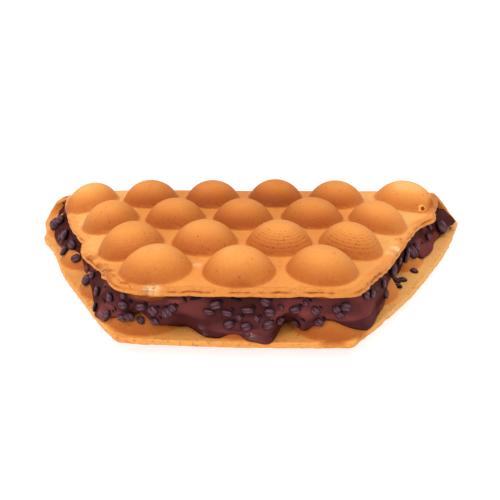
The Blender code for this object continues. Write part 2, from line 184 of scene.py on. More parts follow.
def add_node(
    tree: bpy.types.NodeTree,
    kind: str,
    inputs: dict[str | int, object] | None = None,
    output: str | int = 0,
    **settings: object,
) -> bpy.types.NodeSocket:
    """Add a shader node with its settings and links.

    Args:
        tree: Node tree that takes the node.
        kind: The node's type, as Blender names it after "ShaderNode".
        inputs: Socket names or numbers, each with a socket to link from or a value to set.
        output: Name or number of the output that is wanted.
        settings: Properties of the node itself.

    Returns:
        The wanted output.
    """
    node = tree.nodes.new("ShaderNode" + kind)
    for name, value in settings.items():
        setattr(node, name, value)
    fill_sockets(tree, node, inputs or {})
    return node.outputs[output]


def new_material(name: str) -> tuple[bpy.types.Material, bpy.types.NodeTree, bpy.types.NodeSocket]:
    """Make a material that has only its Principled shader.

    Args:
        name: The finish's name.

    Returns:
        The material, its node tree and the Object coordinates for its patterns.
    """
    material = bpy.data.materials.new(name)
    material.use_nodes = True
    return material, material.node_tree, add_node(material.node_tree, "TexCoord", None, "Object")


def set_ramp(node: bpy.types.Node, stops: Sequence[tuple[float, str]]) -> None:
    """Give a colour ramp its stops.

    Args:
        node: The colour ramp node.
        stops: Places from 0 to 1, each with a hex colour.
    """
    elements = node.color_ramp.elements
    while len(elements) < len(stops):
        elements.new(0.5)
    for element, (place, _) in zip(elements, stops):
        element.position = place
    for element, (_, colour) in zip(elements, stops):
        element.color = linear(colour)


def finish_piece(
    bm: bmesh.types.BMesh, name: str, material: bpy.types.Material
) -> bpy.types.Object:
    """Turn a bmesh into a smooth piece that rides on the waffle.

    Args:
        bm: The mesh, which is freed.
        name: The piece's name.
        material: Its finish.

    Returns:
        The piece.
    """
    mesh = bpy.data.meshes.new(name)
    bm.to_mesh(mesh)
    bm.free()
    mesh.materials.append(material)
    mesh.shade_smooth()
    piece = bpy.data.objects.new(name, mesh)
    bpy.context.scene.collection.objects.link(piece)
    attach(piece, "root")
    LOG.info("%s: %d faces", name, len(mesh.polygons))
    return piece


@dataclass(frozen=True)
class PhotoCamera:
    """The camera that took the picture, found from the upper bubbles.

    Its ray through a pixel tells where a small thing seen at that pixel lies on a surface.
    """

    place: Triple = (-0.00097, -0.25057, 0.13298)
    look_down: float = math.radians(24.78)
    roll: float = math.radians(0.208)
    lens_mm: float = 40.42
    sensor_mm: float = 36.0
    frame_px: float = 500.0

    def axes(self) -> tuple[Vector, Vector, Vector]:
        """Return the camera's right, up and forward directions."""
        ahead = Vector((0.0, math.cos(self.look_down), -math.sin(self.look_down)))
        across = Vector((1.0, 0.0, 0.0))
        upright = Vector((0.0, math.sin(self.look_down), math.cos(self.look_down)))
        right = across * math.cos(self.roll) + upright * math.sin(self.roll)
        return right, upright * math.cos(self.roll) - across * math.sin(self.roll), ahead

    def build(self) -> None:
        """Add the camera and make it the scene's own."""
        right, upright, ahead = self.axes()
        data = bpy.data.cameras.new("camera")
        data.lens = self.lens_mm
        data.sensor_width = self.sensor_mm
        camera = bpy.data.objects.new("camera", data)
        turn = Matrix((right, upright, -ahead)).transposed().to_4x4()
        camera.matrix_world = Matrix.Translation(self.place) @ turn
        bpy.context.scene.collection.objects.link(camera)
        bpy.context.scene.camera = camera

    def direction(self, u: float, v: float) -> Vector:
        """Return the direction from the camera through a pixel of the 500 x 500 frame."""
        right, upright, ahead = self.axes()
        focal = self.lens_mm / self.sensor_mm * self.frame_px
        half = self.frame_px / 2.0
        return (ahead + right * (u - half) / focal - upright * (v - half) / focal).normalized()


@dataclass(frozen=True)
class Swell:
    """A rounded rise or dip along one measure."""

    place: float
    rise: float
    half_width: float

    def at(self, value: Array) -> Array:
        """Return the swell's height at each value of the measure."""
        return self.rise * hump(value, self.place, self.half_width)


def swells_at(value: Array, swells: Sequence[Swell]) -> Array:
    """Return the sum of several swells at each value of their measure."""
    return sum((swell.at(value) for swell in swells), np.zeros_like(value))


@dataclass(frozen=True)
class Side:
    """One side of the sheet's outline: how far it stands out at a depth behind the front edge."""

    start: float
    slope: float
    curve: float
    corner: float
    swells: tuple[Swell, ...]

    def reach(self, depth: Array) -> Array:
        """Return how far the side stands out from x = 0 at each depth."""
        root = math.hypot(1.0, self.slope)
        centre = self.start + self.corner * (self.slope - root)
        inside = np.maximum(self.corner**2 - (self.corner - depth) ** 2, 0.0)
        straight = self.start + self.slope * depth - self.curve * depth**2
        arc_depth = self.corner * (1.0 - self.slope / root)
        side = np.where(depth < arc_depth, centre + np.sqrt(inside), straight)
        return side + swells_at(depth, self.swells)


class Nudge(NamedTuple):
    """How far one bubble lies off the even lattice, and how much larger it is."""

    number: int
    x: float
    y: float
    scale: float


class Profile(Enum):
    """How a bubble stands out of the sheet."""

    ROUND = "a round cap"
    PRESSED = "a round cap pressed flat where the waffle rests on it"
    BARREL = "a fuller cap with steep sides"


@dataclass(frozen=True)
class Bubbles:
    """The bubbles on one face of one half of the sheet."""

    centres: Array
    radii: Array
    heights: Array
    profile: Profile
    pressed: float = 0.0
    foot_softness: float = 0.0007
    foot_slope: float = 2.4
    pull: float = 0.75
    pull_width: float = 0.0010

    def nearest(self, x: Array, y: Array) -> tuple[Array, Array]:
        """Find the nearest bubble to each point.

        Args:
            x: The points' x.
            y: The points' y.

        Returns:
            The bubbles' numbers, and the distances to their centres.
        """
        off_x, off_y = x[:, None] - self.centres[:, 0], y[:, None] - self.centres[:, 1]
        away = np.hypot(off_x, off_y)
        index = away.argmin(axis=1)
        return index, away[np.arange(len(x)), index]

    def bearings(self, x: Array, y: Array) -> Array:
        """Say where each point lies on its nearest bubble.

        Args:
            x: The points' x.
            y: The points' y.

        Returns:
            The bubbles' numbers, and the distances from their centres, towards the front and to
            the right, as shares of their radii.
        """
        index, away = self.nearest(x, y)
        radius = self.radii[index]
        ahead = np.clip((self.centres[index, 1] - y) / radius, -1.0, 1.0)
        rightward = np.clip((x - self.centres[index, 0]) / radius, 0.0, 1.0)
        return np.stack((index, away / radius, ahead, rightward))

    def gather(self, x: Array, y: Array, hold: Array) -> tuple[Array, Array]:
        """Pull points towards the bubbles' feet, so that the crease there is drawn sharp.

        Args:
            x: The points' x.
            y: The points' y.
            hold: 1 where a point may move and 0 where it stays.

        Returns:
            The new x and y.
        """
        index, away = self.nearest(x, y)
        short = self.radii[index] - away
        scale = self.pull * hold * short * hump(short, 0.0, self.pull_width) / np.maximum(away, MM)
        return x + (x - self.centres[index, 0]) * scale, y + (y - self.centres[index, 1]) * scale

    def height(self, x: Array, y: Array) -> Array:
        """Return how far the bubbles stand out of the sheet at each point."""
        index, away = self.nearest(x, y)
        radius, height = self.radii[index], self.heights[index]
        if self.profile is Profile.BARREL:
            share = np.clip(away / radius, 0.0, 1.0)
            cap = height * np.sqrt(1.0 - share**4)
        else:
            sphere = (radius**2 + height**2) / (2.0 * height)
            cap = np.sqrt(sphere**2 - np.minimum(away, radius) ** 2) - (sphere - height)
        cap = np.where(away < radius, cap, (radius - away) * self.foot_slope)
        cap = soft_positive(cap, self.foot_softness)
        if self.profile is Profile.PRESSED:
            cap = np.minimum(cap, height - self.pressed)
        return cap


@dataclass
class Patch:
    """Points of the sheet's middle, with what the surface needs to know about them."""

    x: Array
    y: Array
    z: Array
    out_y: Array
    out_z: Array
    place: Array
    edge: Array


@dataclass(frozen=True)
class FoldedSheet:
    """The sheet's form: two halves with a fold between them, and the bubbles on their faces."""

    thickness: float = 0.0027
    lower_mid: float = 0.00785
    upper_mid: float = 0.02985
    lower_back: float = 0.0568
    upper_back: float = 0.0468
    lower_front: float = -0.0686
    lower_bow: float = 0.70
    lower_bow_x: float = 0.016
    upper_front: float = -0.0673
    upper_skew: float = -0.015
    fold_handle: float = 0.0140
    rim_inset: float = 0.0007
    lower_left: Side = Side(
        0.0555, 0.7095, 1.42, 0.0035,
        each(Swell, (0.0975, 0.0030, 0.009), (0.0550, 0.0014, 0.018), (0.0, -0.0015, 0.008)),
    )
    lower_right: Side = Side(
        0.0417, 0.811, 1.40, 0.004,
        each(Swell, (0.0750, 0.0019, 0.040), (0.0400, 0.0008, 0.014), (0.0, -0.0018, 0.013)),
    )
    upper_left: Side = Side(
        0.0505, 0.602, 1.19, 0.018,
        each(
            Swell,
            (0.0070, 0.0006, 0.0060), (0.0150, 0.0012, 0.0040), (0.0260, -0.0012, 0.0040),
            (0.0190, -0.0012, 0.0016), (0.0124, -0.0009, 0.0016), (0.0420, 0.0026, 0.0080),
            (0.0560, -0.0012, 0.0030), (0.0800, 0.0018, 0.0160), (0.1030, 0.0016, 0.0110),
        ),
    )
    upper_right: Side = Side(
        0.0410, 0.600, 0.75, 0.018,
        each(Swell, (0.085, 0.0042, 0.0055), (0.100, 0.0060, 0.020), (0.0010, 0.0022, 0.0030)),
    )
    front_nicks: tuple[Swell, ...] = each(
        Swell,
        (-0.0460, 0.0008, 0.0020), (-0.0405, 0.0008, 0.0026), (-0.0240, 0.0005, 0.0030),
        (0.0190, 0.0009, 0.0040), (0.0260, 0.0007, 0.0025),
    )
    upper_nudges: tuple[Nudge, ...] = each(
        Nudge,
        (0, -0.0015, 0.0027, 1.0), (1, -0.0008, 0.0007, 1.0), (2, -0.0004, 0.0023, 1.0),
        (3, 0.0004, -0.0010, 0.98), (6, -0.0014, -0.0010, 0.96), (7, 0.0014, -0.0014, 0.94),
        (10, 0.0010, 0.0020, 1.03), (11, 0.0000, -0.0008, 0.98), (12, 0.0012, -0.0008, 0.96),
        (15, 0.0007, 0.0018, 1.0), (17, 0.0044, 0.0012, 1.10),
    )
    lower_nudges: tuple[Nudge, ...] = each(
        Nudge,
        (0, -0.0008, 0.0022, 1.03), (1, 0.0000, 0.0012, 1.0), (3, -0.0013, -0.0043, 1.0),
        (7, -0.0006, -0.0059, 1.0), (6, 0.0004, -0.0052, 1.0), (11, 0.0014, -0.0052, 1.0),
    )
    row_counts: tuple[int, ...] = (3, 4, 5, 6)
    upper_pitch: float = 0.0330
    upper_row_x: float = -0.0045
    upper_row_y: float = -0.0512
    upper_radius: float = 0.0148
    upper_height: float = 0.0102
    under_height: float = 0.0040
    under_front_radii: tuple[float, ...] = (0.0140, 0.0135, 0.0138)
    under_front_heights: tuple[float, ...] = (0.0062, 0.0026, 0.0046)
    under_low: tuple[int, ...] = (3, 6, 7, 11, 12, 17)
    under_low_height: float = 0.0020
    lower_pitch: float = 0.03696
    lower_row_x: float = -0.0058
    lower_row_y: float = -0.0517
    lower_radius: float = 0.0166
    lower_height: float = 0.0114
    base_radius: float = 0.0150
    base_height: float = 0.0070
    base_pressed: float = 0.0005
    fold_count: int = 7
    fold_pitch: float = 0.0325
    fold_centre: float = -0.0010
    fold_place: float = 0.42
    fold_half_width: float = 0.0145
    fold_half_tall: float = 0.0105
    fold_rise: float = 0.0067
    fold_root: float = 0.0017
    fold_softness: float = 0.0006
    fold_fade: float = 0.06
    fold_samples: int = 121
    left_droop: float = 0.0044
    right_droop: float = 0.0036
    droop_width: float = 0.040
    droop_front: float = -0.057
    droop_run: float = 0.022
    seed: int = 7

    @property
    def half(self) -> float:
        """Half the thickness of the sheet between its bubbles."""
        return self.thickness / 2.0

    def lower_y(self, x: Array, depth: Array, inset: float = 0.0) -> Array:
        """Return y on the lower half at a nominal depth, with its front edge bowed."""
        front = self.lower_front + self.lower_bow * (x - self.lower_bow_x) ** 2 + inset
        nominal = self.lower_back - self.lower_front
        return self.lower_back - (nominal - depth) * (self.lower_back - front) / nominal

    def upper_y(self, x: Array, depth: Array, inset: float = 0.0) -> Array:
        """Return y on the upper half at a nominal depth, with its front edge askew and nicked."""
        front = self.upper_front + self.upper_skew * x + inset + swells_at(x, self.front_nicks)
        nominal = self.upper_back - self.upper_front
        return self.upper_back - (nominal - depth) * (self.upper_back - front) / nominal

    def fold(self, place: Array) -> tuple[Array, Array, Array, Array]:
        """Trace the fold's middle from the lower half to the upper half.

        Args:
            place: 0 at the lower half to 1 at the upper half.

        Returns:
            y, z, and the y and z of the direction out of the fold.
        """
        low, high, handle = self.lower_back, self.upper_back, self.fold_handle
        stops_y = (low, low + handle, high + handle, high)
        stops_z = (self.lower_mid, self.lower_mid, self.upper_mid, self.upper_mid)
        run_y, run_z = bezier_run(place, stops_y), bezier_run(place, stops_z)
        length = np.hypot(run_y, run_z)
        return bezier(place, stops_y), bezier(place, stops_z), run_z / length, -run_y / length

    def lattice(self, middle: float, pitch: float, first: float) -> Array:
        """Return the bubble centres of one half, row by row from the front."""
        step = pitch * math.sqrt(3.0) / 2.0
        return np.array(
            [
                (middle + (place - (count - 1) / 2.0) * pitch, first + row * step)
                for row, count in enumerate(self.row_counts)
                for place in range(count)
            ]
        )

    def uneven(self, count: int, low: float, seed: int) -> Array:
        """Return one share from low to 1 for each of several bubbles, the same each run."""
        chance = random.Random(self.seed * 100 + seed)
        return np.array([chance.uniform(low, 1.0) for _ in range(count)])

    def nudged(self, centres: Array, nudges: Sequence[Nudge]) -> Array:
        """Move some bubbles off the lattice in place, and return the scale of each bubble."""
        scales = np.ones(len(centres))
        for nudge in nudges:
            centres[nudge.number] += (nudge.x, nudge.y)
            scales[nudge.number] = nudge.scale
        return scales

    def domes(self) -> Bubbles:
        """Return the bubbles on top of the upper half."""
        centres = self.lattice(self.upper_row_x, self.upper_pitch, self.upper_row_y)
        radii = self.upper_radius * self.nudged(centres, self.upper_nudges)
        radii = radii * self.uneven(len(centres), 0.985, seed=1)
        heights = self.upper_height * self.uneven(len(centres), 0.965, seed=2)
        return Bubbles(centres, radii, heights, Profile.ROUND)

    def under_domes(self) -> Bubbles:
        """Return the bubbles under the upper half, fuller where they show below the front edge."""
        centres = self.lattice(self.upper_row_x, self.upper_pitch, self.upper_row_y)
        self.nudged(centres, self.upper_nudges)
        front = self.row_counts[0]
        centres[:front, 1] = self.upper_row_y
        heights = np.full(len(centres), self.under_height)
        heights[:front] = self.under_front_heights
        heights[list(self.under_low)] = self.under_low_height
        radii = np.full(len(centres), self.upper_radius)
        radii[:front] = self.under_front_radii
        return Bubbles(centres, radii, heights, Profile.BARREL)

    def lower_centres(self) -> Array:
        """Return the even centres of the lower half's bubbles."""
        centres = self.lattice(self.lower_row_x, self.lower_pitch, self.lower_row_y)
        centres[:, 1] = self.lower_y(centres[:, 0], centres[:, 1] - self.lower_front)
        return centres

    def lower_domes(self) -> Bubbles:
        """Return the bubbles on top of the lower half."""
        centres = self.lower_centres()
        radii = self.lower_radius * self.nudged(centres, self.lower_nudges)
        return Bubbles(centres, radii, np.full(len(centres), self.lower_height), Profile.ROUND)

    def base_domes(self) -> Bubbles:
        """Return the bubbles that the waffle rests on, pressed flat underneath."""
        centres = self.lower_centres()
        radii = np.full(len(centres), self.base_radius)
        heights = np.full(len(centres), self.base_height)
        return Bubbles(centres, radii, heights, Profile.PRESSED, pressed=self.base_pressed)

    def droop_at(self, x: Array, y: Array) -> Array:
        """Return how far the upper half sags towards its left and right edges."""
        depth = y - self.upper_front
        back = ramp(y, self.droop_front, self.droop_run)
        left = np.clip(1.0 - (self.upper_left.reach(depth) + x) / self.droop_width, 0.0, 1.0) ** 2
        right = np.clip(1.0 - (self.upper_right.reach(depth) - x) / self.droop_width, 0.0, 1.0) ** 2
        right = right * (1.0 - 0.55 * ramp(y, 0.010, 0.030))
        return -(self.left_droop * left + self.right_droop * right) * back

    def lower_top(self, x: Array, y: Array) -> Array:
        """Return the height of the lower half's upper face."""
        return self.lower_mid + self.half + self.lower_domes().height(x, y)

    def upper_under(self, x: Array, y: Array) -> Array:
        """Return the height of the upper half's under face."""
        return self.upper_mid - self.half - self.under_domes().height(x, y) + self.droop_at(x, y)

    def inside_y(self, height: Array, clearance: float = 0.0010) -> Array:
        """Return y just inside the fold at each height."""
        y, z, out_y, out_z = self.fold(np.linspace(0.0, 1.0, self.fold_samples))
        depth = self.half + clearance
        return np.interp(height, z - out_z * depth, y - out_y * depth)

    def fold_bulge(self, x: Array, place: Array) -> Array:
        """Return how far the bubbles stretched over the fold stand out of it."""
        samples = np.linspace(0.0, 1.0, self.fold_samples)
        y, z, _, _ = self.fold(samples)
        lengths = np.concatenate(([0.0], np.cumsum(np.hypot(np.diff(y), np.diff(z)))))
        along = np.interp(place, samples, lengths) - np.interp(self.fold_place, samples, lengths)
        total = np.zeros_like(x)
        for number, share in enumerate(self.uneven(self.fold_count, 0.88, seed=3)):
            centre = self.fold_centre + (number - (self.fold_count - 1) / 2.0) * self.fold_pitch
            square = ((x - centre) / self.fold_half_width) ** 2 + (along / self.fold_half_tall) ** 2
            rise = self.fold_rise * share * np.sqrt(np.maximum(1.0 - square, 0.0)) - self.fold_root
            total = np.maximum(total, soft_positive(rise, self.fold_softness))
        return total * ramp(place, 0.0, self.fold_fade) * ramp(place, 1.0, -self.fold_fade)


class Face(Enum):
    """The two faces of the sheet: the one that stays outside when it is folded, and the other."""

    OUTER = 1.0
    INNER = -1.0


@dataclass(frozen=True)
class BakedBatter:
    """Baked egg batter: a dry satin skin, pale between the bubbles and brown round their feet,
    where its bake mark also carries painted shade and light.

    The eye gets a fine crumb with pinholes, rings of small pits where the batter rose slowly, and
    toasted flecks along the cut rims.
    """

    name: str = "baked_egg_batter"
    stops: tuple[tuple[float, str], ...] = (
        (0.0, "e7b56c"),
        (0.20, "e19247"),
        (0.46, "c87733"),
        (0.75, "a4531a"),
        (1.0, "7d390f"),
    )
    pinhole_colour: str = "813b11"
    fleck_colour: str = "a45925"
    cream_colour: str = "e7d19c"
    crumb_mm: float = 1.15
    blotch_mm: float = 19.0
    pinhole_mm: float = 2.3
    pit_mm: float = 0.9
    ring_mm: float = 1.10
    fleck_mm: float = 2.0

    def build(self) -> bpy.types.Material:
        """Make the material.

        Returns:
            The material, which reads the waffle's own attributes and Object coordinates.
        """
        material, tree, place = new_material(self.name)
        marks = {
            mark: add_node(
                tree, "Attribute", None, "Fac", attribute_type="GEOMETRY", attribute_name=mark
            )
            for mark in ("bake", "rim", "cream", "ridge", "ring")
        }
        noises = []
        for size_mm, detail in ((self.crumb_mm, 3.0), (self.blotch_mm, 2.0), (self.fleck_mm, 4.0)):
            inputs = {"Vector": place, "Scale": per_mm(size_mm), "Detail": detail, "Roughness": 0.6}
            noises.append(add_node(tree, "TexNoise", inputs))
        crumb, blotch, flecks = noises
        cell_inputs = {"Vector": place, "Scale": per_mm(self.pinhole_mm)}
        cells = add_node(tree, "TexVoronoi", cell_inputs, "Distance")
        cell_shade = add_node(tree, "SeparateColor", {0: cells.node.outputs["Color"]})
        pit_inputs = {"Vector": place, "Scale": per_mm(self.pit_mm)}
        pits = add_node(tree, "TexVoronoi", pit_inputs, "Distance")

        turn_inputs = {0: marks["ring"], 1: math.tau / self.ring_mm}
        wave = add_node(tree, "Math", turn_inputs, operation="MULTIPLY")
        wave = add_node(tree, "Math", {0: wave}, operation="SINE")
        wave = add_node(tree, "Math", {0: wave, 1: marks["ridge"]}, operation="MULTIPLY")
        bands = []
        for value, low, high in (
            (cell_shade, 0.80, 0.86),
            (cells, 0.20, 0.09),
            (wave, 0.1, 0.8),
            (pits, 0.36, 0.16),
            (pits, 0.30, 0.10),
            (flecks, 0.54, 0.68),
            (crumb, 0.30, 0.55),
        ):
            inputs = {"Value": value, "From Min": low, "From Max": high}
            bands.append(add_node(tree, "MapRange", inputs, interpolation_type="SMOOTHSTEP"))
        chosen, dot, trough, pit, dent, speck, pale = bands

        products = []
        for first, second in (
            (dot, chosen),
            (pit, trough),
            (speck, marks["rim"]),
            (pale, marks["cream"]),
            (flecks, marks["rim"]),
        ):
            products.append(add_node(tree, "Math", {0: first, 1: second}, operation="MULTIPLY"))
        pinhole, ring_pit, fleck, cream, rim_flecks = products
        holes = add_node(tree, "Math", {0: pinhole, 1: ring_pit}, operation="MAXIMUM")

        bake = marks["bake"]
        for pattern, share, centre in (
            (crumb, 0.16, -0.08),
            (blotch, 0.16, -0.08),
            (trough, 0.07, 0.0),
        ):
            bake = add_node(tree, "Math", {0: bake, 1: centre}, operation="ADD")
            bake = add_node(tree, "Math", {0: pattern, 1: share, 2: bake}, operation="MULTIPLY_ADD")
        colour = add_node(tree, "ValToRGB", {"Fac": bake})
        set_ramp(colour.node, self.stops)
        for mark, share, over in (
            (fleck, 0.55, self.fleck_colour),
            (cream, 1.0, self.cream_colour),
            (holes, 0.42, self.pinhole_colour),
        ):
            laid = add_node(tree, "Math", {0: mark, 1: share}, operation="MULTIPLY")
            colour = add_node(
                tree, "Mix", {0: laid, 6: colour, 7: linear(over)}, 2, data_type="RGBA"
            )

        height: object = 0.0
        for pattern, depth in (
            (crumb, 0.17),
            (holes, -0.22),
            (dent, -0.05),
            (wave, -0.05),
            (rim_flecks, 0.35),
        ):
            inputs = {0: pattern, 1: depth, 2: height}
            height = add_node(tree, "Math", inputs, operation="MULTIPLY_ADD")
        rough = add_node(tree, "Math", {0: crumb, 1: 0.20, 2: 0.50}, operation="MULTIPLY_ADD")
        sockets = {
            "Base Color": colour,
            "Normal": add_node(tree, "Bump", {"Height": height, "Distance": MM, "Strength": 1.0}),
            "Roughness": rough,
            "IOR": 1.45,
            "Specular IOR Level": 0.16,
        }
        fill_sockets(tree, tree.nodes["Principled BSDF"], sockets)
        return material


@dataclass(frozen=True)
class ThickChocolate:
    """Thick chocolate sauce: a dark red-brown that sets with a wet skin.

    The eye gets soft lighter and darker bands painted into its colour as sheen and shade, and small
    sharp highlights.
    """

    name: str = "thick_chocolate_sauce"
    stops: tuple[tuple[float, str], ...] = (
        (0.0, "441d1c"),
        (0.42, "582a2a"),
        (0.58, "68302e"),
        (1.0, "7e3e3a"),
    )
    stretch: Triple = (0.55, 0.55, 1.5)
    sheen_band_mm: float = 15.0
    streak_mm: float = 5.0

    def build(self) -> bpy.types.Material:
        """Make the material.

        Returns:
            The material, which reads Object coordinates, the sauce's wet attribute and its painted
            sheen attribute.
        """
        material, tree, place = new_material(self.name)
        painted_sheen, wet = (
            add_node(tree, "Attribute", None, "Fac", attribute_type="GEOMETRY", attribute_name=mark)
            for mark in ("painted_sheen", "wet")
        )
        stretched = add_node(tree, "Mapping", {"Vector": place, "Scale": self.stretch})
        inputs = {"Vector": stretched, "Scale": per_mm(self.sheen_band_mm), "Detail": 0.6}
        bands = add_node(tree, "TexNoise", {**inputs, "Distortion": 0.7})
        inputs = {"Vector": stretched, "Scale": per_mm(self.streak_mm), "Detail": 1.5}
        streaks = add_node(tree, "TexNoise", inputs)
        inputs = {"Value": bands, "From Min": 0.47, "From Max": 0.55}
        edge = add_node(tree, "MapRange", inputs, interpolation_type="SMOOTHSTEP")
        # Painted sheen and shade: the crisp-edged noise bands and the sauce's sheen patches make
        # the colour lighter and darker.
        level: object = -0.17
        for pattern, share in ((streaks, 0.35), (edge, 0.55), (painted_sheen, 1.0)):
            inputs = {0: pattern, 1: share, 2: level}
            level = add_node(tree, "Math", inputs, operation="MULTIPLY_ADD")
        colour = add_node(tree, "ValToRGB", {"Fac": level})
        set_ramp(colour.node, self.stops)
        height = add_node(tree, "Math", {0: streaks, 1: 0.5}, operation="MULTIPLY")
        rough, coat = (
            add_node(tree, "Math", {0: mark, 1: share, 2: least}, operation="MULTIPLY_ADD")
            for mark, share, least in ((streaks, 0.16, 0.24), (wet, 0.90, 0.05))
        )
        sockets = {
            "Base Color": colour,
            "Normal": add_node(tree, "Bump", {"Height": height, "Distance": MM, "Strength": 0.6}),
            "Roughness": rough,
            "Specular IOR Level": 0.0,
            "Coat Weight": coat,
            "Coat Roughness": 0.07,
            "Coat IOR": 1.6,
        }
        fill_sockets(tree, tree.nodes["Principled BSDF"], sockets)
        return material


@dataclass(frozen=True)
class RoastedSkin:
    """Roasted bean skin: dark plum-brown with a waxy dullness and a paler crease.

    The eye gets a light line down each bean, a slightly mottled back, and near-black painted shade
    low on its sides.
    """

    name: str = "roasted_bean_skin"
    skin: str = "4b2a31"
    # Near-black painted shade for the beans' lower sides and for the husk chips.
    shade: str = "121118"
    crease: str = "6c4d55"
    mottle_mm: float = 1.1

    def build(self) -> bpy.types.Material:
        """Make the material.

        Returns:
            The material, which reads the beans' crease attribute.
        """
        material, tree, place = new_material(self.name)
        inputs = {"Vector": place, "Scale": per_mm(self.mottle_mm), "Detail": 2.0}
        mottle = add_node(tree, "TexNoise", inputs)
        crease = add_node(
            tree, "Attribute", None, "Fac", attribute_type="GEOMETRY", attribute_name="crease"
        )
        tone, rough = (
            add_node(tree, "Math", {0: mottle, 1: 0.20, 2: least}, operation="MULTIPLY_ADD")
            for least in (crease, 0.34)
        )
        colour = add_node(tree, "ValToRGB", {"Fac": tone})
        set_ramp(colour.node, ((0.15, self.shade), (0.50, self.skin), (1.0, self.crease)))
        sockets = {
            "Base Color": colour,
            "Normal": add_node(tree, "Bump", {"Height": mottle, "Distance": MM, "Strength": 0.25}),
            "Roughness": rough,
            "Specular IOR Level": 0.06,
        }
        fill_sockets(tree, tree.nodes["Principled BSDF"], sockets)
        return material


@dataclass(frozen=True)
class PaleFloor:
    """Plain pale studio floor: a matte white acrylic board lit faintly from below.

    The eye gets an even white with a soft, thin shadow.
    """

    name: str = "matte_white_acrylic"
    light: str = "9c9c9c"
    dark: str = "999999"
    cloud_mm: float = 400.0
    glow: float = 2.35

    def build(self) -> bpy.types.Material:
        """Make the material.

        Returns:
            The floor's material.
        """
        material, tree, place = new_material(self.name)
        inputs = {"Vector": place, "Scale": per_mm(self.cloud_mm), "Detail": 2.0}
        colour = add_node(tree, "ValToRGB", {"Fac": add_node(tree, "TexNoise", inputs)})
        set_ramp(colour.node, ((0.3, self.dark), (0.7, self.light)))
        sockets = {
            "Base Color": colour,
            "Emission Color": colour,
            "Emission Strength": self.glow,
            "Roughness": 0.9,
            "Specular IOR Level": 0.1,
        }
        fill_sockets(tree, tree.nodes["Principled BSDF"], sockets)
        return material


class Spot(NamedTuple):
    """A round patch on the upper half where the batter stayed pale or got toasted."""

    x: float
    y: float
    radius: float
    strength: float
    fade: float = 0.6

    def at(self, x: Array, y: Array) -> Array:
        """Return the patch's strength at each point."""
        away = np.hypot(x - self.x, y - self.y)
        return self.strength * ramp(away, self.radius, -self.fade * self.radius)


CREAM_SPOTS = each(
    Spot,
    (-0.0374, -0.0645, 0.0042, 0.60), (-0.0226, -0.0449, 0.0026, 0.45),
    (0.0645, -0.0215, 0.0034, 0.60), (0.0605, -0.0270, 0.0028, 0.45),
    (-0.0165, 0.0115, 0.0016, 0.6),
)
TOAST_SPOTS = each(
    Spot,
    (-0.0700, -0.0310, 0.0050, 0.40), (-0.0655, -0.0400, 0.0055, 0.40),
    (-0.0600, -0.0480, 0.0055, 0.35), (-0.0560, -0.0560, 0.0045, 0.30),
    (-0.0490, -0.0615, 0.0022, 0.60), (0.0690, -0.0130, 0.0040, 0.30),
    (0.0650, -0.0300, 0.0030, 0.40), (0.0985, 0.0360, 0.0060, 0.35),
)
SMALL_SPOT = 0.002
MARKS = ("bake", "rim", "cream", "ridge", "ring", "band")


@dataclass(frozen=True)
class Browning:
    """How dark each part is coloured, from 0 at the palest to 1 at the darkest, or what a part
    adds.
    Most of it is browning, but some entries paint shade or light into the colour.

    The web is the sheet between the bubbles, the tray is the lower half's upper face, and the wings
    are its left and right ends. A pair that ends in _at is where a change starts and how far it
    runs, and one that ends in _grain is a noise's size and seed.
    """

    web: float = 0.21
    web_back: float = 0.85
    web_sides: float = -0.13
    dome: float = 0.23
    back: float = 0.19
    back_sides: float = -0.31
    foot: float = 0.30
    # Painted shade on the bubbles' front sides, and painted light on their right sides.
    front_foot_painted_shade: float = 0.20
    right_foot_painted_light: float = -0.14
    # Painted light: the tray is paler on the right and at the front, where shade falls.
    tray_right_painted_light: float = -0.05
    tray_front_painted_light: float = -0.03
    wing_web: float = -0.06
    wing_dome: float = -0.13
    inner_dome: float = 0.08
    tray_foot: float = 0.08
    under_front_painted_shade: float = 0.50
    # Painted shade on the under bubbles that show below the front edge.
    fold: float = 0.34
    fold_patches: float = 0.10
    crease: Swell = Swell(0.0024, 0.10, 0.0007)
    rim: Swell = Swell(0.0, 0.16, 0.0014)
    roll: float = 0.28
    spread: float = 0.035
    seed: int = 31
    middle_x: float = -0.004
    high_from: float = 0.6
    foot_power: float = 1.5
    back_at: Pair = (-0.050, 0.085)
    sides_at: Pair = (0.035, 0.050)
    wings_at: Pair = (0.048, 0.022)
    tray_at: Pair = (0.4, -0.4)
    tray_right_painted_light_at: Pair = (0.030, 0.020)
    tray_front_painted_light_at: Pair = (-0.040, -0.030)
    tray_foot_at: Pair = (-0.045, 0.015)
    under_front_painted_shade_at: Pair = (-0.054, -0.004)
    foot_at: Pair = (0.20, 0.80)
    dome_at: Pair = (1.045, -0.07)
    fold_in_at: Pair = (0.0, 0.15)
    fold_out_at: Pair = (1.0, -0.15)
    ridge_front_at: Pair = (-0.05, 0.45)
    ridge_foot_at: Pair = (0.96, -0.10)
    ridge_top_at: Pair = (0.30, 0.20)
    patchy_at: Pair = (-0.3, 0.5)
    toast_at: Pair = (-0.35, 0.6)
    fold_grain: Pair = (0.02, 3.0)
    patchy_grain: Pair = (0.006, 8.0)
    toast_grain: Pair = (0.0022, 14.0)
    ring_grain: Pair = (0.012, 2.5)
    ring_wander: float = 0.35
    ring_middle: float = 0.004

    def uneven(self, count: int) -> Array:
        """Return how much lighter or darker each bubble is baked, the same each run."""
        chance = random.Random(self.seed)
        return np.array([chance.uniform(-self.spread, self.spread) for _ in range(count)])


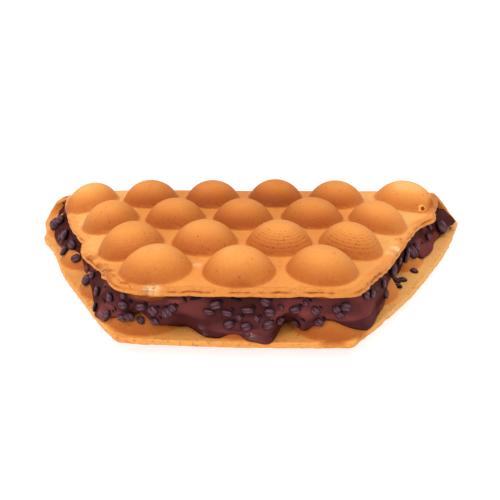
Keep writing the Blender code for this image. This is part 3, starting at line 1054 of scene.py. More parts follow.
@dataclass(frozen=True)
class WaffleShell:
    """The whole waffle as one closed shell of batter, made from a grid bent round the fold.

    A pair that ends in _at or _grain says what it does in Browning, and each pair of a rough or
    wandering layer is its strength and its size. The roll's span is its middle and half its length.
    """

    form: FoldedSheet
    brown: Browning = Browning()
    columns: int = 180
    lower_rows: int = 98
    fold_rows: int = 28
    upper_rows: int = 112
    crowding: float = 1.3
    left_taper: float = 1.5
    right_taper: float = 1.15
    wander: float = 0.00030
    upper_wander: float = 0.00025
    rim_width: float = 0.0028
    waviness: float = 0.00022
    graininess: float = 0.00005
    crumbs: float = 0.00022
    fine_crumbs: float = 0.00012
    lip: Swell = Swell(0.0014, 0.00045, 0.0010)
    roll: Swell = Swell(0.0014, 1.0, 0.0015)
    roll_span: Pair = (0.030, 0.016)
    roll_rise: float = 0.0019
    roll_roughness: float = 0.0009
    pressed_from: float = 0.0060
    droop_at: Pair = (0.4, 0.6)
    inland_at: Pair = (0.0008, 0.0022)
    flat_at: Pair = (0.45, 0.5)
    swell_grain: Pair = (0.021, 1.0)
    face_grain: Pair = (0.0045, 4.0)
    crumb_grain: Pair = (0.0018, 6.0)
    rim_cuts: int = 7
    rim_bulge: float = 0.0007
    rim_fullness: float = 0.66
    rim_rough: tuple[Pair, ...] = ((0.35, 0.0030), (0.20, 0.0013))
    seam_share: float = 0.35
    seam_rough: tuple[Pair, ...] = ((1.5, 0.0075), (0.8, 0.0022))
    seam_wander: tuple[Pair, ...] = ((0.13, 0.0050),)
    seam_tone: float = -0.42
    bead_tone: float = -0.10
    seam: Swell = Swell(0.30, -1.3, 0.13)
    bead: Swell = Swell(0.68, 0.35, 0.25)
    ridges: tuple[tuple[int, float], ...] = ((5, 0.8), (6, 0.9), (3, 0.35))

    @property
    def rows(self) -> int:
        """The grid's rows from the lower front edge round the fold to the upper front edge."""
        return self.lower_rows + self.fold_rows + self.upper_rows

    def middle(self, across: Array, row: Array) -> Patch:
        """Bend the grid's points into the folded sheet's middle.

        Args:
            across: Share of the way from the left edge to the right edge.
            row: Row number, counted from the lower front edge.

        Returns:
            The points with their directions and their distances from the rim.
        """
        form = self.form
        low_share = np.clip(row / self.lower_rows, 0.0, 1.0) ** self.crowding
        low_depth = (form.lower_back - form.lower_front) * low_share
        high_share = np.clip((self.rows - row) / self.upper_rows, 0.0, 1.0) ** self.crowding
        high_depth = (form.upper_back - form.upper_front) * high_share
        place = np.clip((row - self.lower_rows) / self.fold_rows, 0.0, 1.0)
        wander = self.wander + self.upper_wander * ramp(place, 0.5, 0.5)
        edges = []
        for low_side, high_side, power, step, track, seed in (
            (form.lower_left, form.upper_left, self.left_taper, 0.30, 3.1, 2.0),
            (form.lower_right, form.upper_right, self.right_taper, 0.34, 9.7, 5.0),
        ):
            taper = smooth(place) ** power
            reach = low_side.reach(low_depth) * (1.0 - taper) + high_side.reach(high_depth) * taper
            still = row * 0.0
            ragged = wander * (roughness_at((row * step, still, still + track), 1.0, seed) - 0.35)
            edges.append(reach - form.rim_inset + ragged)
        left, right = edges
        x = -left + (left + right) * across

        fold_y, fold_z, out_y, out_z = form.fold(place)
        low_y = form.lower_y(x, low_depth, form.rim_inset)
        high_y = form.upper_y(x, high_depth, form.rim_inset)
        y = np.where(place <= 0.0, low_y, np.where(place >= 1.0, high_y, fold_y))
        z = fold_z + form.droop_at(x, y) * ramp(place, *self.droop_at)

        lean = math.cos(math.atan(0.5))
        front = np.where(place <= 0.0, low_depth, np.where(place >= 1.0, high_depth, 1.0))
        edge = np.minimum(np.minimum((x + left) * lean, (right - x) * lean), front)
        return Patch(x, y, z, out_y, out_z, place, np.maximum(edge, 0.0))

    def face_points(self, patch: Patch, face: Face) -> tuple[Array, dict[str, Array]]:
        """Place one face of the sheet and say how it is baked.

        Args:
            patch: Points of the sheet's middle.
            face: Which face to make.

        Returns:
            The points, and the marks that the finish reads.
        """
        form = self.form
        outer = face is Face.OUTER
        high_bubbles = form.domes() if outer else form.under_domes()
        low_bubbles = form.base_domes() if outer else form.lower_domes()
        inland = ramp(patch.edge, *self.inland_at)
        x, y = high_bubbles.gather(patch.x, patch.y, inland * (patch.place >= 1.0))
        x, y = low_bubbles.gather(x, y, inland * (patch.place <= 0.0))

        flat_high, flat_low = (ramp(out, *self.flat_at) for out in (patch.out_z, -patch.out_z))
        low = low_bubbles.height(x, y)
        rise = high_bubbles.height(x, y) * flat_high + low * flat_low
        axes = (x, y, patch.z)
        swell, grain = (roughness_at(axes, *of) for of in (self.swell_grain, self.face_grain))
        near = np.exp(-patch.edge / self.rim_width)
        crumbly = self.crumbs * grain
        crumbly = crumbly + self.fine_crumbs * roughness_at(axes, *self.crumb_grain)
        if outer:
            rise = rise + form.fold_bulge(x, patch.place) * (1.0 - flat_high) * (1.0 - flat_low)
            rise = rise + self.lip.at(patch.edge) * (0.7 + 0.6 * grain) * flat_high
            roll = self.rolled(x, y, patch.edge) * (patch.place >= 1.0)
            rise = rise + roll * (self.roll_rise + self.roll_roughness * grain)
        lift = self.waviness * swell * (1.0 - near) + self.graininess * grain + near * crumbly
        pressed = flat_low * (1.0 if outer else 0.0) * (low > self.pressed_from)
        rise = rise + lift * (1.0 - pressed)

        reach = (form.half + rise) * face.value
        points = np.column_stack((x, y + patch.out_y * reach, patch.z + patch.out_z * reach))
        return points, self.baking(x, y, patch, face, high_bubbles, low_bubbles)

    def rolled(self, x: Array, y: Array, edge: Array) -> Array:
        """Return how far each point belongs to the browned roll at the right, near the back."""
        middle, half = self.roll_span
        along = ramp(np.abs(y - middle), half * 1.6, -half * 0.9) * (x > 0.06)
        return along * self.roll.at(edge)

    def baking(
        self,
        x: Array,
        y: Array,
        patch: Patch,
        face: Face,
        high_bubbles: Bubbles,
        low_bubbles: Bubbles,
    ) -> dict[str, Array]:
        """Work out how brown, creamy, ridged and toasted each point is, and where shade and light
        are painted.

        Args:
            x: The points' x.
            y: The points' y.
            patch: Points of the sheet's middle.
            face: Which face they are on.
            high_bubbles: The bubbles of the upper half on this face.
            low_bubbles: The bubbles of the lower half on this face.

        Returns:
            One array for each mark.
        """
        brown, outer, upper = self.brown, face is Face.OUTER, patch.place >= 1.0
        on_high = patch.place > brown.high_from
        high_bearings, low_bearings = high_bubbles.bearings(x, y), low_bubbles.bearings(x, y)
        index, share, ahead, rightward = np.where(on_high, high_bearings, low_bearings)
        high_index, high_away = high_bubbles.nearest(x, y)

        off_middle = np.abs(x - brown.middle_x)
        side = ramp(off_middle, *brown.sides_at)
        deep = ramp(y, *brown.back_at) * (brown.back + brown.back_sides * side)
        tray = ramp(patch.place, *brown.tray_at)
        wing = tray * ramp(off_middle, *brown.wings_at)
        # Painted light: the tray is coloured paler on the right and at the front, against the shade
        # that falls there.
        web = brown.web + brown.tray_right_painted_light * tray * ramp(x, *brown.tray_right_painted_light_at)
        web = web + brown.wing_web * wing
        web = web + brown.web_back * np.maximum(deep, 0.0) + brown.web_sides * side * (1.0 - tray)
        web = web + brown.tray_front_painted_light * tray * ramp(y, *brown.tray_front_painted_light_at)
        # The feet darken towards each bubble's edge: browning, and partly painted shade in the
        # crease. The front term paints shade on each bubble's front side, and the right term paints
        # light on its right side to even out the lamps from the left.
        foot = ramp(share, *brown.foot_at) ** brown.foot_power
        shade = brown.foot + brown.front_foot_painted_shade * ahead + brown.right_foot_painted_light * rightward
        tones = brown.uneven(len(high_bubbles.radii))
        dome = brown.dome + deep + shade * foot + tones[index.astype(int)] + brown.wing_dome * wing
        on_dome = ramp(share, *brown.dome_at)
        bake = web + (dome - web) * on_dome
        if not outer:
            tray_foot = brown.tray_foot * tray * foot * ramp(y, *brown.tray_foot_at)
            # Painted shade: the under bubbles below the front edge are coloured dark brown for the
            # shadow there.
            under_front_painted_shade = brown.under_front_painted_shade * on_high * ramp(y, *brown.under_front_painted_shade_at)
            bake = bake + on_dome * (brown.inner_dome + tray_foot + under_front_painted_shade)
        fold = ramp(patch.place, *brown.fold_in_at) * ramp(patch.place, *brown.fold_out_at)
        fold_tone = brown.fold + brown.fold_patches * roughness_at((x, y, x), *brown.fold_grain)
        bake = bake * (1.0 - fold) + fold_tone * fold

        patchy = ramp(roughness_at((x, y, y), *brown.patchy_grain), *brown.patchy_at)
        bake = bake + brown.crease.at(patch.edge) * upper * patchy
        bake = bake + brown.rim.at(patch.edge) * upper
        cream, ridge = np.zeros_like(x), np.zeros_like(x)
        if outer:
            bake = bake + brown.roll * self.rolled(x, y, patch.edge) * patchy * on_high
            for spot in CREAM_SPOTS:
                off_dome = 1.0 - on_dome * (spot.radius > SMALL_SPOT)
                cream = np.maximum(cream, spot.at(x, y) * off_dome * upper)
            toast = ramp(roughness_at((x, y, x), *brown.toast_grain), *brown.toast_at)
            for spot in TOAST_SPOTS:
                bake = bake + spot.at(x, y) * toast * upper
            for number, strength in self.ridges:
                ridge = ridge + strength * (high_index == number) * upper
            ridge = ridge * ramp(ahead, *brown.ridge_front_at) * ramp(share, *brown.ridge_foot_at)
            ridge = ridge * ramp(share, *brown.ridge_top_at)
        # Rings round each bubble, in millimetres, with a soft middle.
        ring = np.hypot(high_away, brown.ring_middle) / MM
        ring = ring + brown.ring_wander * roughness_at((x, y, x), *brown.ring_grain)
        near = np.exp(-patch.edge / self.rim_width)
        band = np.full_like(x, 0.0 if outer else 1.0)
        return dict(zip(MARKS, (bake, near, cream, ridge, ring, band)))

    def add_face(
        self, bm: bmesh.types.BMesh, face: Face, marks: dict[str, object]
    ) -> list[bmesh.types.BMEdge]:
        """Add one face of the sheet to a bmesh.

        Args:
            bm: The mesh so far.
            face: Which face to add.
            marks: The mesh's float layers by name.

        Returns:
            The edges of the face's own boundary.
        """
        made = bmesh.ops.create_grid(bm, x_segments=self.columns, y_segments=self.rows, size=0.5)
        verts = made["verts"]
        start = np.array([vertex.co[:2] for vertex in verts])
        patch = self.middle(start[:, 0] + 0.5, np.round((start[:, 1] + 0.5) * self.rows))
        points, values = self.face_points(patch, face)
        points = np.clip(points, np.array(CAD_LOW), np.array(CAD_HIGH))
        for number, vertex in enumerate(verts):
            vertex.co = points[number]
            for name, layer in marks.items():
                vertex[layer] = values[name][number]
        faces = {f for vertex in verts for f in vertex.link_faces}
        if face is Face.OUTER:
            bmesh.ops.reverse_faces(bm, faces=list(faces))
        return [e for f in faces for e in f.edges if e.is_boundary]

    def rim_profile(self, place: Vector, share: float) -> Pair:
        """Return the depth of the seam and the height of the bead at a point of the upper rim.

        Args:
            place: The point.
            share: 0 at the outer face to 1 at the inner face.

        Returns:
            The seam and the bead as shares of the rim's bulge, both 0 on the lower half.
        """
        if place.z < self.form.upper_mid - 2.5 * self.form.thickness:
            return 0.0, 0.0
        patchy = self.seam_share + mixed_noise(place, self.seam_rough)
        at = share + mixed_noise(place, self.seam_wander)
        return float(self.seam.at(at)) * min(1.0, max(0.0, patchy)), float(self.bead.at(at))

    def build(self, material: bpy.types.Material) -> bpy.types.Object:
        """Make the shell: both faces, joined round the rim by a rough rounded edge.

        Args:
            material: The batter's finish.

        Returns:
            The waffle.
        """
        bm = bmesh.new()
        marks = {name: bm.verts.layers.float.new(name) for name in MARKS}
        outer = self.add_face(bm, Face.OUTER, marks)
        inner = self.add_face(bm, Face.INNER, marks)
        band = bmesh.ops.bridge_loops(bm, edges=outer + inner)
        rims = set(outer) | set(inner)
        across = [e for e in band["edges"] if e not in rims]
        cut = bmesh.ops.subdivide_edges(bm, edges=across, cuts=self.rim_cuts, use_grid_fill=True)
        fresh = [item for item in cut["geom_inner"] if isinstance(item, bmesh.types.BMVert)]
        bm.normal_update()
        moves = []
        for vertex in fresh:
            rough = mixed_noise(vertex.co, self.rim_rough)
            seam, bead = self.rim_profile(vertex.co, vertex[marks["band"]])
            full = min(1.0, self.rim_fullness + rough + seam + bead)
            moves.append(vertex.normal * self.rim_bulge * full)
            vertex[marks["bake"]] += self.seam_tone * seam + self.bead_tone * bead
        for vertex, move in zip(fresh, moves):
            vertex.co += move
            for axis in range(3):
                vertex.co[axis] = min(max(vertex.co[axis], CAD_LOW[axis]), CAD_HIGH[axis])
        piece = finish_piece(bm, "waffle_shell", material)
        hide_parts("waffle")
        return piece


class Sheen(NamedTuple):
    """A patch of the sauce's wall painted lighter as sheen where its strength is positive, and
    darker as shade where it is negative.
    """

    station: float
    level: float
    half_width: float
    half_height: float
    strength: float

    def at(self, station: float, level: float) -> float:
        """Return the patch's share of lightness at a point of the wall."""
        across = ((station - self.station) / self.half_width) ** 2
        upward = ((level - self.level) / self.half_height) ** 2
        return self.strength * math.exp(-((across + upward) ** 4))


class Glint(NamedTuple):
    """A wetter spot of the sauce: the pixel where it shows, its half width and its half height."""

    u: float
    v: float
    half_width: float
    half_height: float

    def at(self, away: Vector) -> float:
        """Return how wet the sauce is at an offset from the spot's middle."""
        across = math.hypot(away.x, away.y) / self.half_width
        return math.exp(-(across**2) - (away.z / self.half_height) ** 2)


@dataclass(frozen=True)
class SauceBody:
    """The thick filling: one body between the halves, whose wall runs out over the lower half.

    Its wall follows the upper rim. A station is a length along that rim, from the left end of the
    fold, and a level is 0 at the wall's foot and 1 under the upper half. The tongues are runs and
    notches of the foot. A pair that ends in _at or _grain says what it does in Browning.
    """

    form: FoldedSheet
    camera: PhotoCamera
    corners: tuple[Pair, ...] = (
        (-0.1073, 0.0468),
        (-0.0525, -0.0653),
        (0.0435, -0.0663),
        (0.1030, 0.0468),
    )
    corner_radius: float = 0.018
    corner_points: int = 25
    rim_step: float = 0.0015
    base_reach: float = -0.0008
    ripple: float = 0.0005
    ripple_grain: Pair = (0.011, 12.0)
    top_inset: float = 0.0022
    stations: int = 420
    levels: int = 30
    crowding: float = 0.35
    lip: float = 0.0022
    lip_share: float = 0.75
    lip_at: Pair = (-0.001, 0.006)
    belly: float = 0.0012
    hang_from: float = -0.0010
    hang_slope: float = 0.62
    nose_share: float = 0.22
    belly_share: float = 0.30
    waves: float = 0.0009
    fine_waves: float = 0.0003
    wave_stretch: float = 0.020
    wave_grain: Pair = (0.013, 20.0)
    fine_grain: Pair = (0.005, 33.0)
    bead: float = 0.0007
    bead_form: tuple[Swell, ...] = (Swell(0.13, 1.0, 0.08), Swell(0.34, -0.7, 0.12))
    # Painted light and shade: a lighter band above the foot paints a highlight, and a darker foot
    # paints shade.
    lip_highlight_and_shade: tuple[Swell, ...] = (Swell(0.28, 0.10, 0.14), Swell(0.0, -0.10, 0.07))
    film: float = 0.0012
    film_level: float = 0.14
    sink: float = 0.0004
    left_end: float = 0.0012
    left_end_low: float = 0.0046
    right_end: float = 0.0026
    right_end_high: float = 0.0150
    right_end_low: float = 0.0105
    left_low_at: Pair = (0.0265, -0.011)
    right_high_at: Pair = (0.0165, 0.0030)
    right_low_at: Pair = (0.0145, -0.0030)
    ends_at: Pair = (0.022, 0.026)
    back_corner: float = 0.008
    floor_inset: float = 0.006
    ceiling_inset: float = 0.008
    ceiling_drop: float = 0.0045
    drop: float = 0.0010
    front_limit: float = -0.0692
    front_softness: float = 0.0012
    tongues: tuple[Swell, ...] = each(
        Swell,
        (0.018, 0.0070, 0.024), (0.098, 0.0032, 0.011), (0.130, -0.0063, 0.006),
        (0.148, -0.0080, 0.006), (0.165, 0.0004, 0.008), (0.179, 0.0030, 0.008),
        (0.189, -0.0145, 0.004), (0.203, -0.0026, 0.009), (0.272, -0.0038, 0.015),
        (0.310, 0.0058, 0.015), (0.344, 0.0092, 0.018), (0.043, 0.0013, 0.006),
        (0.107, 0.0026, 0.004), (0.140, -0.0010, 0.003), (0.181, 0.0016, 0.003),
        (0.190, 0.0022, 0.0025), (0.253, -0.0012, 0.005), (0.295, 0.0024, 0.005),
        (0.350, 0.0070, 0.007), (0.048, 0.0021, 0.0045), (0.085, 0.0011, 0.0045),
        (0.120, -0.0013, 0.0045), (0.142, -0.0016, 0.0070),
    )
    # Painted sheen and shade: lighter patches paint reflections on the wall, darker ones paint
    # shade.
    sheens: tuple[Sheen, ...] = each(
        Sheen,
        (0.151, 0.68, 0.008, 0.26, 0.55), (0.164, 0.30, 0.006, 0.12, 0.35),
        (0.180, 0.52, 0.014, 0.11, 0.32), (0.186, 0.28, 0.012, 0.13, -0.25),
        (0.175, 0.75, 0.010, 0.20, -0.25), (0.205, 0.60, 0.009, 0.25, -0.20),
        (0.183, 0.16, 0.006, 0.14, -0.35), (0.158, 0.12, 0.006, 0.12, -0.25),
        (0.250, 0.25, 0.010, 0.12, 0.25), (0.268, 0.60, 0.012, 0.30, -0.30),
        (0.222, 0.30, 0.007, 0.20, 0.30), (0.236, 0.55, 0.010, 0.30, -0.30),
        (0.108, 0.80, 0.005, 0.20, 0.50), (0.120, 0.55, 0.006, 0.22, 0.30),
        (0.134, 0.60, 0.007, 0.26, -0.35), (0.318, 0.85, 0.014, 0.14, 0.40),
        (0.060, 0.50, 0.016, 0.30, -0.20),
    )
    glints: tuple[Glint, ...] = each(
        Glint,
        (60.4, 236.0, 0.0012, 0.0028), (61.4, 242.4, 0.0008, 0.0010),
        (78.6, 253.0, 0.0010, 0.0016), (86.0, 268.0, 0.0008, 0.0022),
        (101.7, 313.0, 0.0013, 0.0022), (103.5, 319.5, 0.0016, 0.0007),
        (201.5, 327.5, 0.0012, 0.0009), (205.0, 334.0, 0.0008, 0.0009),
        (252.7, 337.5, 0.0024, 0.0009),
    )

    def rim(self) -> tuple[Array, Array]:
        """Trace the upper rim with its round front corners.

        Returns:
            The rim's points, and the lengths along it at those points.
        """
        corners = [np.array(corner) for corner in self.corners]
        points = [corners[0]]
        for before, corner, after in zip(corners, corners[1:], corners[2:]):
            back = (before - corner) / np.linalg.norm(before - corner)
            ahead = (after - corner) / np.linalg.norm(after - corner)
            half_angle = math.acos(float(back @ ahead)) / 2.0
            run = self.corner_radius / math.tan(half_angle)
            spread = (back + ahead) / np.linalg.norm(back + ahead)
            centre = corner + spread * self.corner_radius / math.sin(half_angle)
            start, end = corner + back * run - centre, corner + ahead * run - centre
            for share in np.linspace(0.0, 1.0, self.corner_points):
                spoke = start * (1.0 - share) + end * share
                points.append(centre + spoke / np.linalg.norm(spoke) * self.corner_radius)
        points.append(corners[-1])
        line = np.array(points)
        steps = np.linalg.norm(np.diff(line, axis=0), axis=1)
        return line, np.concatenate(([0.0], np.cumsum(steps)))

    def rim_points(self, station: Array) -> Array:
        """Find points of the upper rim, which runs straight on past its ends.

        Args:
            station: Lengths along the rim.

        Returns:
            The points.
        """
        line, lengths = self.rim()
        held = np.clip(station, 0.0, lengths[-1])
        flat = np.column_stack([np.interp(held, lengths, line[:, axis]) for axis in range(2)])
        first = (line[1] - line[0]) / lengths[1]
        last = (line[-1] - line[-2]) / (lengths[-1] - lengths[-2])
        flat = flat + np.minimum(station, 0.0)[:, None] * first
        return flat + np.maximum(station - lengths[-1], 0.0)[:, None] * last

    def outward(self, station: Array) -> Array:
        """Return the directions out of the sauce along the upper rim."""
        along = self.rim_points(station + self.rim_step) - self.rim_points(station - self.rim_step)
        along = along / np.linalg.norm(along, axis=1)[:, None]
        return np.column_stack((along[:, 1], -along[:, 0]))

    def reach(self, station: Array) -> Array:
        """Return how far the sauce's foot runs past the upper rim."""
        ripple = roughness_at((station, station * 0.0, station * 0.0), *self.ripple_grain)
        return self.base_reach + swells_at(station, self.tongues) + self.ripple * ripple

    def wall(self, station: Array, level: float) -> Array:
        """Place the points of one level of the wall.

        Args:
            station: Lengths along the upper rim.
            level: 0 at the foot to 1 under the upper half.

        Returns:
            N by 3 array of points.
        """
        form = self.form
        rim, outward = self.rim_points(station), self.outward(station)
        reach = self.reach(station)
        foot, top = rim + outward * reach[:, None], rim - outward * self.top_inset
        foot_z = form.lower_top(foot[:, 0], foot[:, 1]) - self.sink
        top_z = form.upper_under(top[:, 0], top[:, 1]) + self.sink
        tall = top_z - foot_z
        hang = self.hang_slope * np.maximum(self.hang_from - reach, 0.0)
        swollen = self.lip * (self.lip_share + self.lip_share * ramp(reach, *self.lip_at))
        nose = np.maximum(reach, self.hang_from) + swollen
        out = bezier(level, (reach, nose, self.belly - self.top_inset, -self.top_inset))
        nose_z, belly_z = foot_z + self.nose_share * tall + hang, top_z - self.belly_share * tall
        z = bezier(level, (foot_z, nose_z, belly_z, top_z))
        axes = (station, np.full_like(station, level * self.wave_stretch), station * 0.0)
        waves = self.waves * roughness_at(axes, *self.wave_grain)
        waves = waves + self.fine_waves * roughness_at(axes, *self.fine_grain)
        free = math.sin(math.pi * min(1.0, level * 1.05)) if level < 0.95 else 0.0
        out = out + free * waves + self.bead * swells_at(level, self.bead_form)
        flat = rim + outward * out[:, None]
        past = flat[:, 1] - self.front_limit
        flat[:, 1] = self.front_limit + soft_positive(past, self.front_softness)
        film = self.film * ramp(level, 0.0, self.film_level)
        z = np.maximum(z, form.lower_top(flat[:, 0], flat[:, 1]) + film - self.sink)
        z = np.minimum(z, form.upper_under(flat[:, 0], flat[:, 1]) + self.sink)
        return np.column_stack((flat, z))

    def ring(self, level: float) -> Array:
        """Close one level of the wall with a line just inside the fold.

        Args:
            level: 0 at the foot to 1 under the upper half.

        Returns:
            N by 3 array of points.
        """
        _, lengths = self.rim()
        left, right = self.wall(lengths[[0, -1]], level)
        back = float(self.form.inside_y(np.array([(left[2] + right[2]) / 2.0]))[0])
        extra = (back - self.corners[0][1]) * 1.1
        points = self.wall(np.linspace(-extra, lengths[-1] + extra, self.stations), level)
        points[:, 1] = np.minimum(points[:, 1], back)
        points[:, 0] = self.inside_ends(points)
        right_end = (points[-1, 0] - self.back_corner, back, points[-1, 2])
        left_end = (points[0, 0] + self.back_corner, back, points[0, 2])
        return np.vstack((points, right_end, left_end))

    def inside_ends(self, points: Array) -> Array:
        """Keep the sauce inside the open ends of the fold.

        Args:
            points: Points of the wall.

        Returns:
            Their x, drawn in where they are near the fold.
        """
        form = self.form
        x, y, z = points.T
        place = ramp(z, form.lower_mid, form.upper_mid - form.lower_mid)
        depth = y - form.upper_front
        left = form.lower_left.reach(depth) * (1.0 - place) + form.upper_left.reach(depth) * place
        right = form.lower_right.reach(depth) * (1.0 - place)
        right = right + form.upper_right.reach(depth) * place
        least = -left + self.left_end + self.left_end_low * ramp(z, *self.left_low_at)
        most = right + self.right_end - self.right_end_high * ramp(z, *self.right_high_at)
        most = most - self.right_end_low * ramp(z, *self.right_low_at)
        near = ramp(y, *self.ends_at)
        return x * (1.0 - near) + np.clip(x, least, most) * near

    def inner_ring(self, ring: Array, height: float, inset: float) -> Array:
        """Return a hidden flat ring inside a level, which a cap closes."""
        middle = ring[:, :2].mean(axis=0)
        away = ring[:, :2] - middle
        length = np.linalg.norm(away, axis=1)[:, None]
        flat = middle + away * (length - inset) / length
        return np.column_stack((flat, np.full(len(ring), height)))

    def build(self, material: bpy.types.Material) -> bpy.types.Object:
        """Make the sauce.

        Args:
            material: The sauce's finish.

        Returns:
            The sauce.
        """
        form = self.form
        even = np.linspace(0.0, 1.0, self.levels + 1)
        shares = [float(s) for s in smooth(even) * self.crowding + even * (1.0 - self.crowding)]
        walls = [self.ring(share) for share in shares]
        low = form.lower_mid + 0.6 * form.half
        high = form.upper_mid - form.half - self.ceiling_drop
        floor_ring = self.inner_ring(walls[0], low, self.floor_inset)
        ceiling_ring = self.inner_ring(walls[-1], high, self.ceiling_inset)
        bm = bmesh.new()
        painted_sheen, wet = (bm.verts.layers.float.new(name) for name in ("painted_sheen", "wet"))
        loops = []
        for points in (floor_ring, *walls, ceiling_ring):
            verts = [bm.verts.new(point) for point in points]
            edges = [bm.edges.new(pair) for pair in zip(verts, verts[1:] + verts[:1])]
            loops.append((verts, edges))
        for (_, lower), (_, upper) in zip(loops, loops[1:]):
            bmesh.ops.bridge_loops(bm, edges=lower + upper)
        for verts, _ in (loops[0], loops[-1]):
            bm.faces.new(verts)
        length = self.rim()[1][-1]
        shining = self.shining(BVHTree.FromBMesh(bm))
        for (verts, _), share in zip(loops[1:-1], shares):
            lip_highlight_and_shade = float(swells_at(share, self.lip_highlight_and_shade))
            for number, vertex in enumerate(verts):
                station = number / len(verts) * length
                # Painted sheen and shade from the patches, and the lip's painted highlight and
                # shade.
                vertex[painted_sheen] = sum(sheen.at(station, share) for sheen in self.sheens) + lip_highlight_and_shade
                vertex[wet] = max(glint.at(vertex.co - point) for glint, point in shining)
        bmesh.ops.recalc_face_normals(bm, faces=bm.faces[:])
        bm.normal_update()
        for vertex in bm.verts:
            vertex.co += vertex.normal * self.drop * vertex[wet]
            vertex.co.y = max(vertex.co.y, self.front_limit)
        piece = finish_piece(bm, "chocolate_sauce", material)
        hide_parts("filling")
        return piece

    def shining(self, tree: BVHTree) -> list[tuple[Glint, Vector]]:
        """Find where the glints lie on the sauce."""
        start = Vector(self.camera.place)
        hits = [(g, tree.ray_cast(start, self.camera.direction(g.u, g.v))[0]) for g in self.glints]
        return [(glint, point) for glint, point in hits if point is not None]


class BeanSpot(NamedTuple):
    """Where a bean shows in the picture: its pixel, its slant there in degrees and its size.

    The width is a share of the length.
    """

    u: float
    v: float
    slant: float
    length_mm: float
    width: float = 0.78


BEAN_SPOTS = each(
    BeanSpot,
    (215.4, 304.5, 10, 4.4), (208.7, 311.2, -12, 4.5, 0.50), (227.2, 312.7, -15, 4.6, 0.50),
    (248.0, 310.0, -5, 4.9, 0.50), (265.6, 301.9, -35, 4.2), (269.0, 312.4, -8, 4.4),
    (281.2, 307.4, -60, 3.2, 0.50), (295.3, 308.6, 10, 4.5), (315.4, 310.3, -55, 3.9),
    (306.0, 303.2, -50, 3.0, 0.55), (239.3, 317.2, -55, 3.0, 0.55), (256.8, 318.6, -55, 3.2, 0.55),
    (228.8, 324.0, 10, 4.4), (246.5, 325.8, 8, 4.4), (268.0, 324.6, 12, 4.5),
    (279.0, 320.0, -50, 4.3), (297.2, 322.7, -35, 4.2), (318.7, 321.3, -45, 4.3),
    (336.3, 308.6, -60, 3.6), (339.8, 314.0, -50, 3.8), (345.4, 306.2, -20, 4.4),
    (365.2, 294.6, -50, 3.9), (371.2, 293.8, -52, 4.1), (382.2, 283.8, -50, 4.6),
    (384.8, 293.6, -70, 4.4), (396.4, 281.6, -30, 4.4), (398.2, 287.2, -50, 4.4),
    (402.3, 280.7, 0, 4.2), (413.8, 271.6, -30, 4.2), (398.2, 260.6, -55, 4.6),
    (404.3, 257.7, -35, 6.0), (405.7, 252.0, -35, 5.6), (411.0, 252.2, -65, 6.6),
    (415.7, 247.2, -45, 4.8), (427.0, 237.2, 50, 4.4), (65.5, 251.8, 10, 6.2),
    (76.6, 258.8, 5, 5.0), (61.4, 220.3, -50, 6.4), (56.6, 225.0, -62, 8.2),
    (66.7, 235.8, -58, 7.6), (73.2, 244.8, -60, 5.2), (93.0, 275.2, -10, 4.0),
    (88.0, 280.6, -65, 6.2), (98.7, 291.6, -58, 5.2), (111.4, 297.0, -45, 4.6),
    (123.7, 295.6, -30, 3.0), (124.2, 304.7, -8, 4.3), (96.5, 307.3, 0, 4.6),
    (108.4, 314.3, -5, 4.2), (122.7, 317.2, 0, 4.0), (129.3, 315.2, -62, 4.8),
    (141.0, 306.5, -5, 4.0), (141.0, 320.4, -50, 3.4), (152.8, 310.7, -58, 4.2),
    (155.0, 320.3, -62, 4.0), (166.6, 311.4, -64, 5.0), (172.1, 307.5, -50, 3.8),
)
BIG_BEAN_SPOTS = each(
    BeanSpot, (439.8, 227.2, -50, 8.6), (391.3, 271.2, -75, 6.8), (428.2, 227.6, 20, 4.6)
)
SHADOW_HUSK_SPOTS = each(
    BeanSpot,
    (63.0, 203.0, -60, 2.4), (63.4, 230.0, -50, 2.4), (76.2, 236.6, -50, 2.4),
    (72.0, 236.4, -45, 2.0), (94.0, 284.8, -45, 2.4), (104.3, 301.0, -65, 2.6),
    (130.8, 301.0, -65, 2.4), (115.5, 309.2, -65, 2.6), (184.0, 299.0, -55, 3.4),
    (196.0, 298.6, 10, 5.0), (236.0, 299.4, -15, 4.6), (397.6, 272.6, -60, 2.6),
    (450.0, 228.2, -60, 2.4), (53.0, 219.8, -70, 1.8),
)
SAUCE = 1


@dataclass(frozen=True)
class LyingThings:
    """Lays small things where the picture shows them, on the sauce or on the batter."""

    camera: PhotoCamera
    surfaces: tuple[BVHTree, ...]

    def seat(self, spot: BeanSpot, wanted: int | None = None) -> Matrix | None:
        """Find the surface that shows at a spot.

        Args:
            spot: A pixel with a slant.
            wanted: Number of the only surface that will do, where it matters.

        Returns:
            A frame at that point, whose X runs along the thing and whose Z stands on the surface.
        """
        start, ray = Vector(self.camera.place), self.camera.direction(spot.u, spot.v)
        hits = [tree.ray_cast(start, ray) for tree in self.surfaces]
        shown_by = [number for number, hit in enumerate(hits) if hit[0] is not None]
        if not shown_by:
            LOG.warning("nothing lies under pixel %s", spot)
            return None
        nearest = min(shown_by, key=lambda number: hits[number][3])
        if wanted is not None and nearest != wanted:
            return None
        point, normal, _, _ = hits[nearest]
        right, upright, _ = self.camera.axes()
        slant = math.radians(spot.slant)
        shown = right * math.cos(slant) + upright * math.sin(slant)
        lengthwise = ray.cross(shown).cross(normal).normalized()
        lengthwise = lengthwise if lengthwise.dot(shown) > 0.0 else -lengthwise
        turn = Matrix((lengthwise, normal.cross(lengthwise), normal)).transposed().to_4x4()
        return Matrix.Translation(point) @ turn


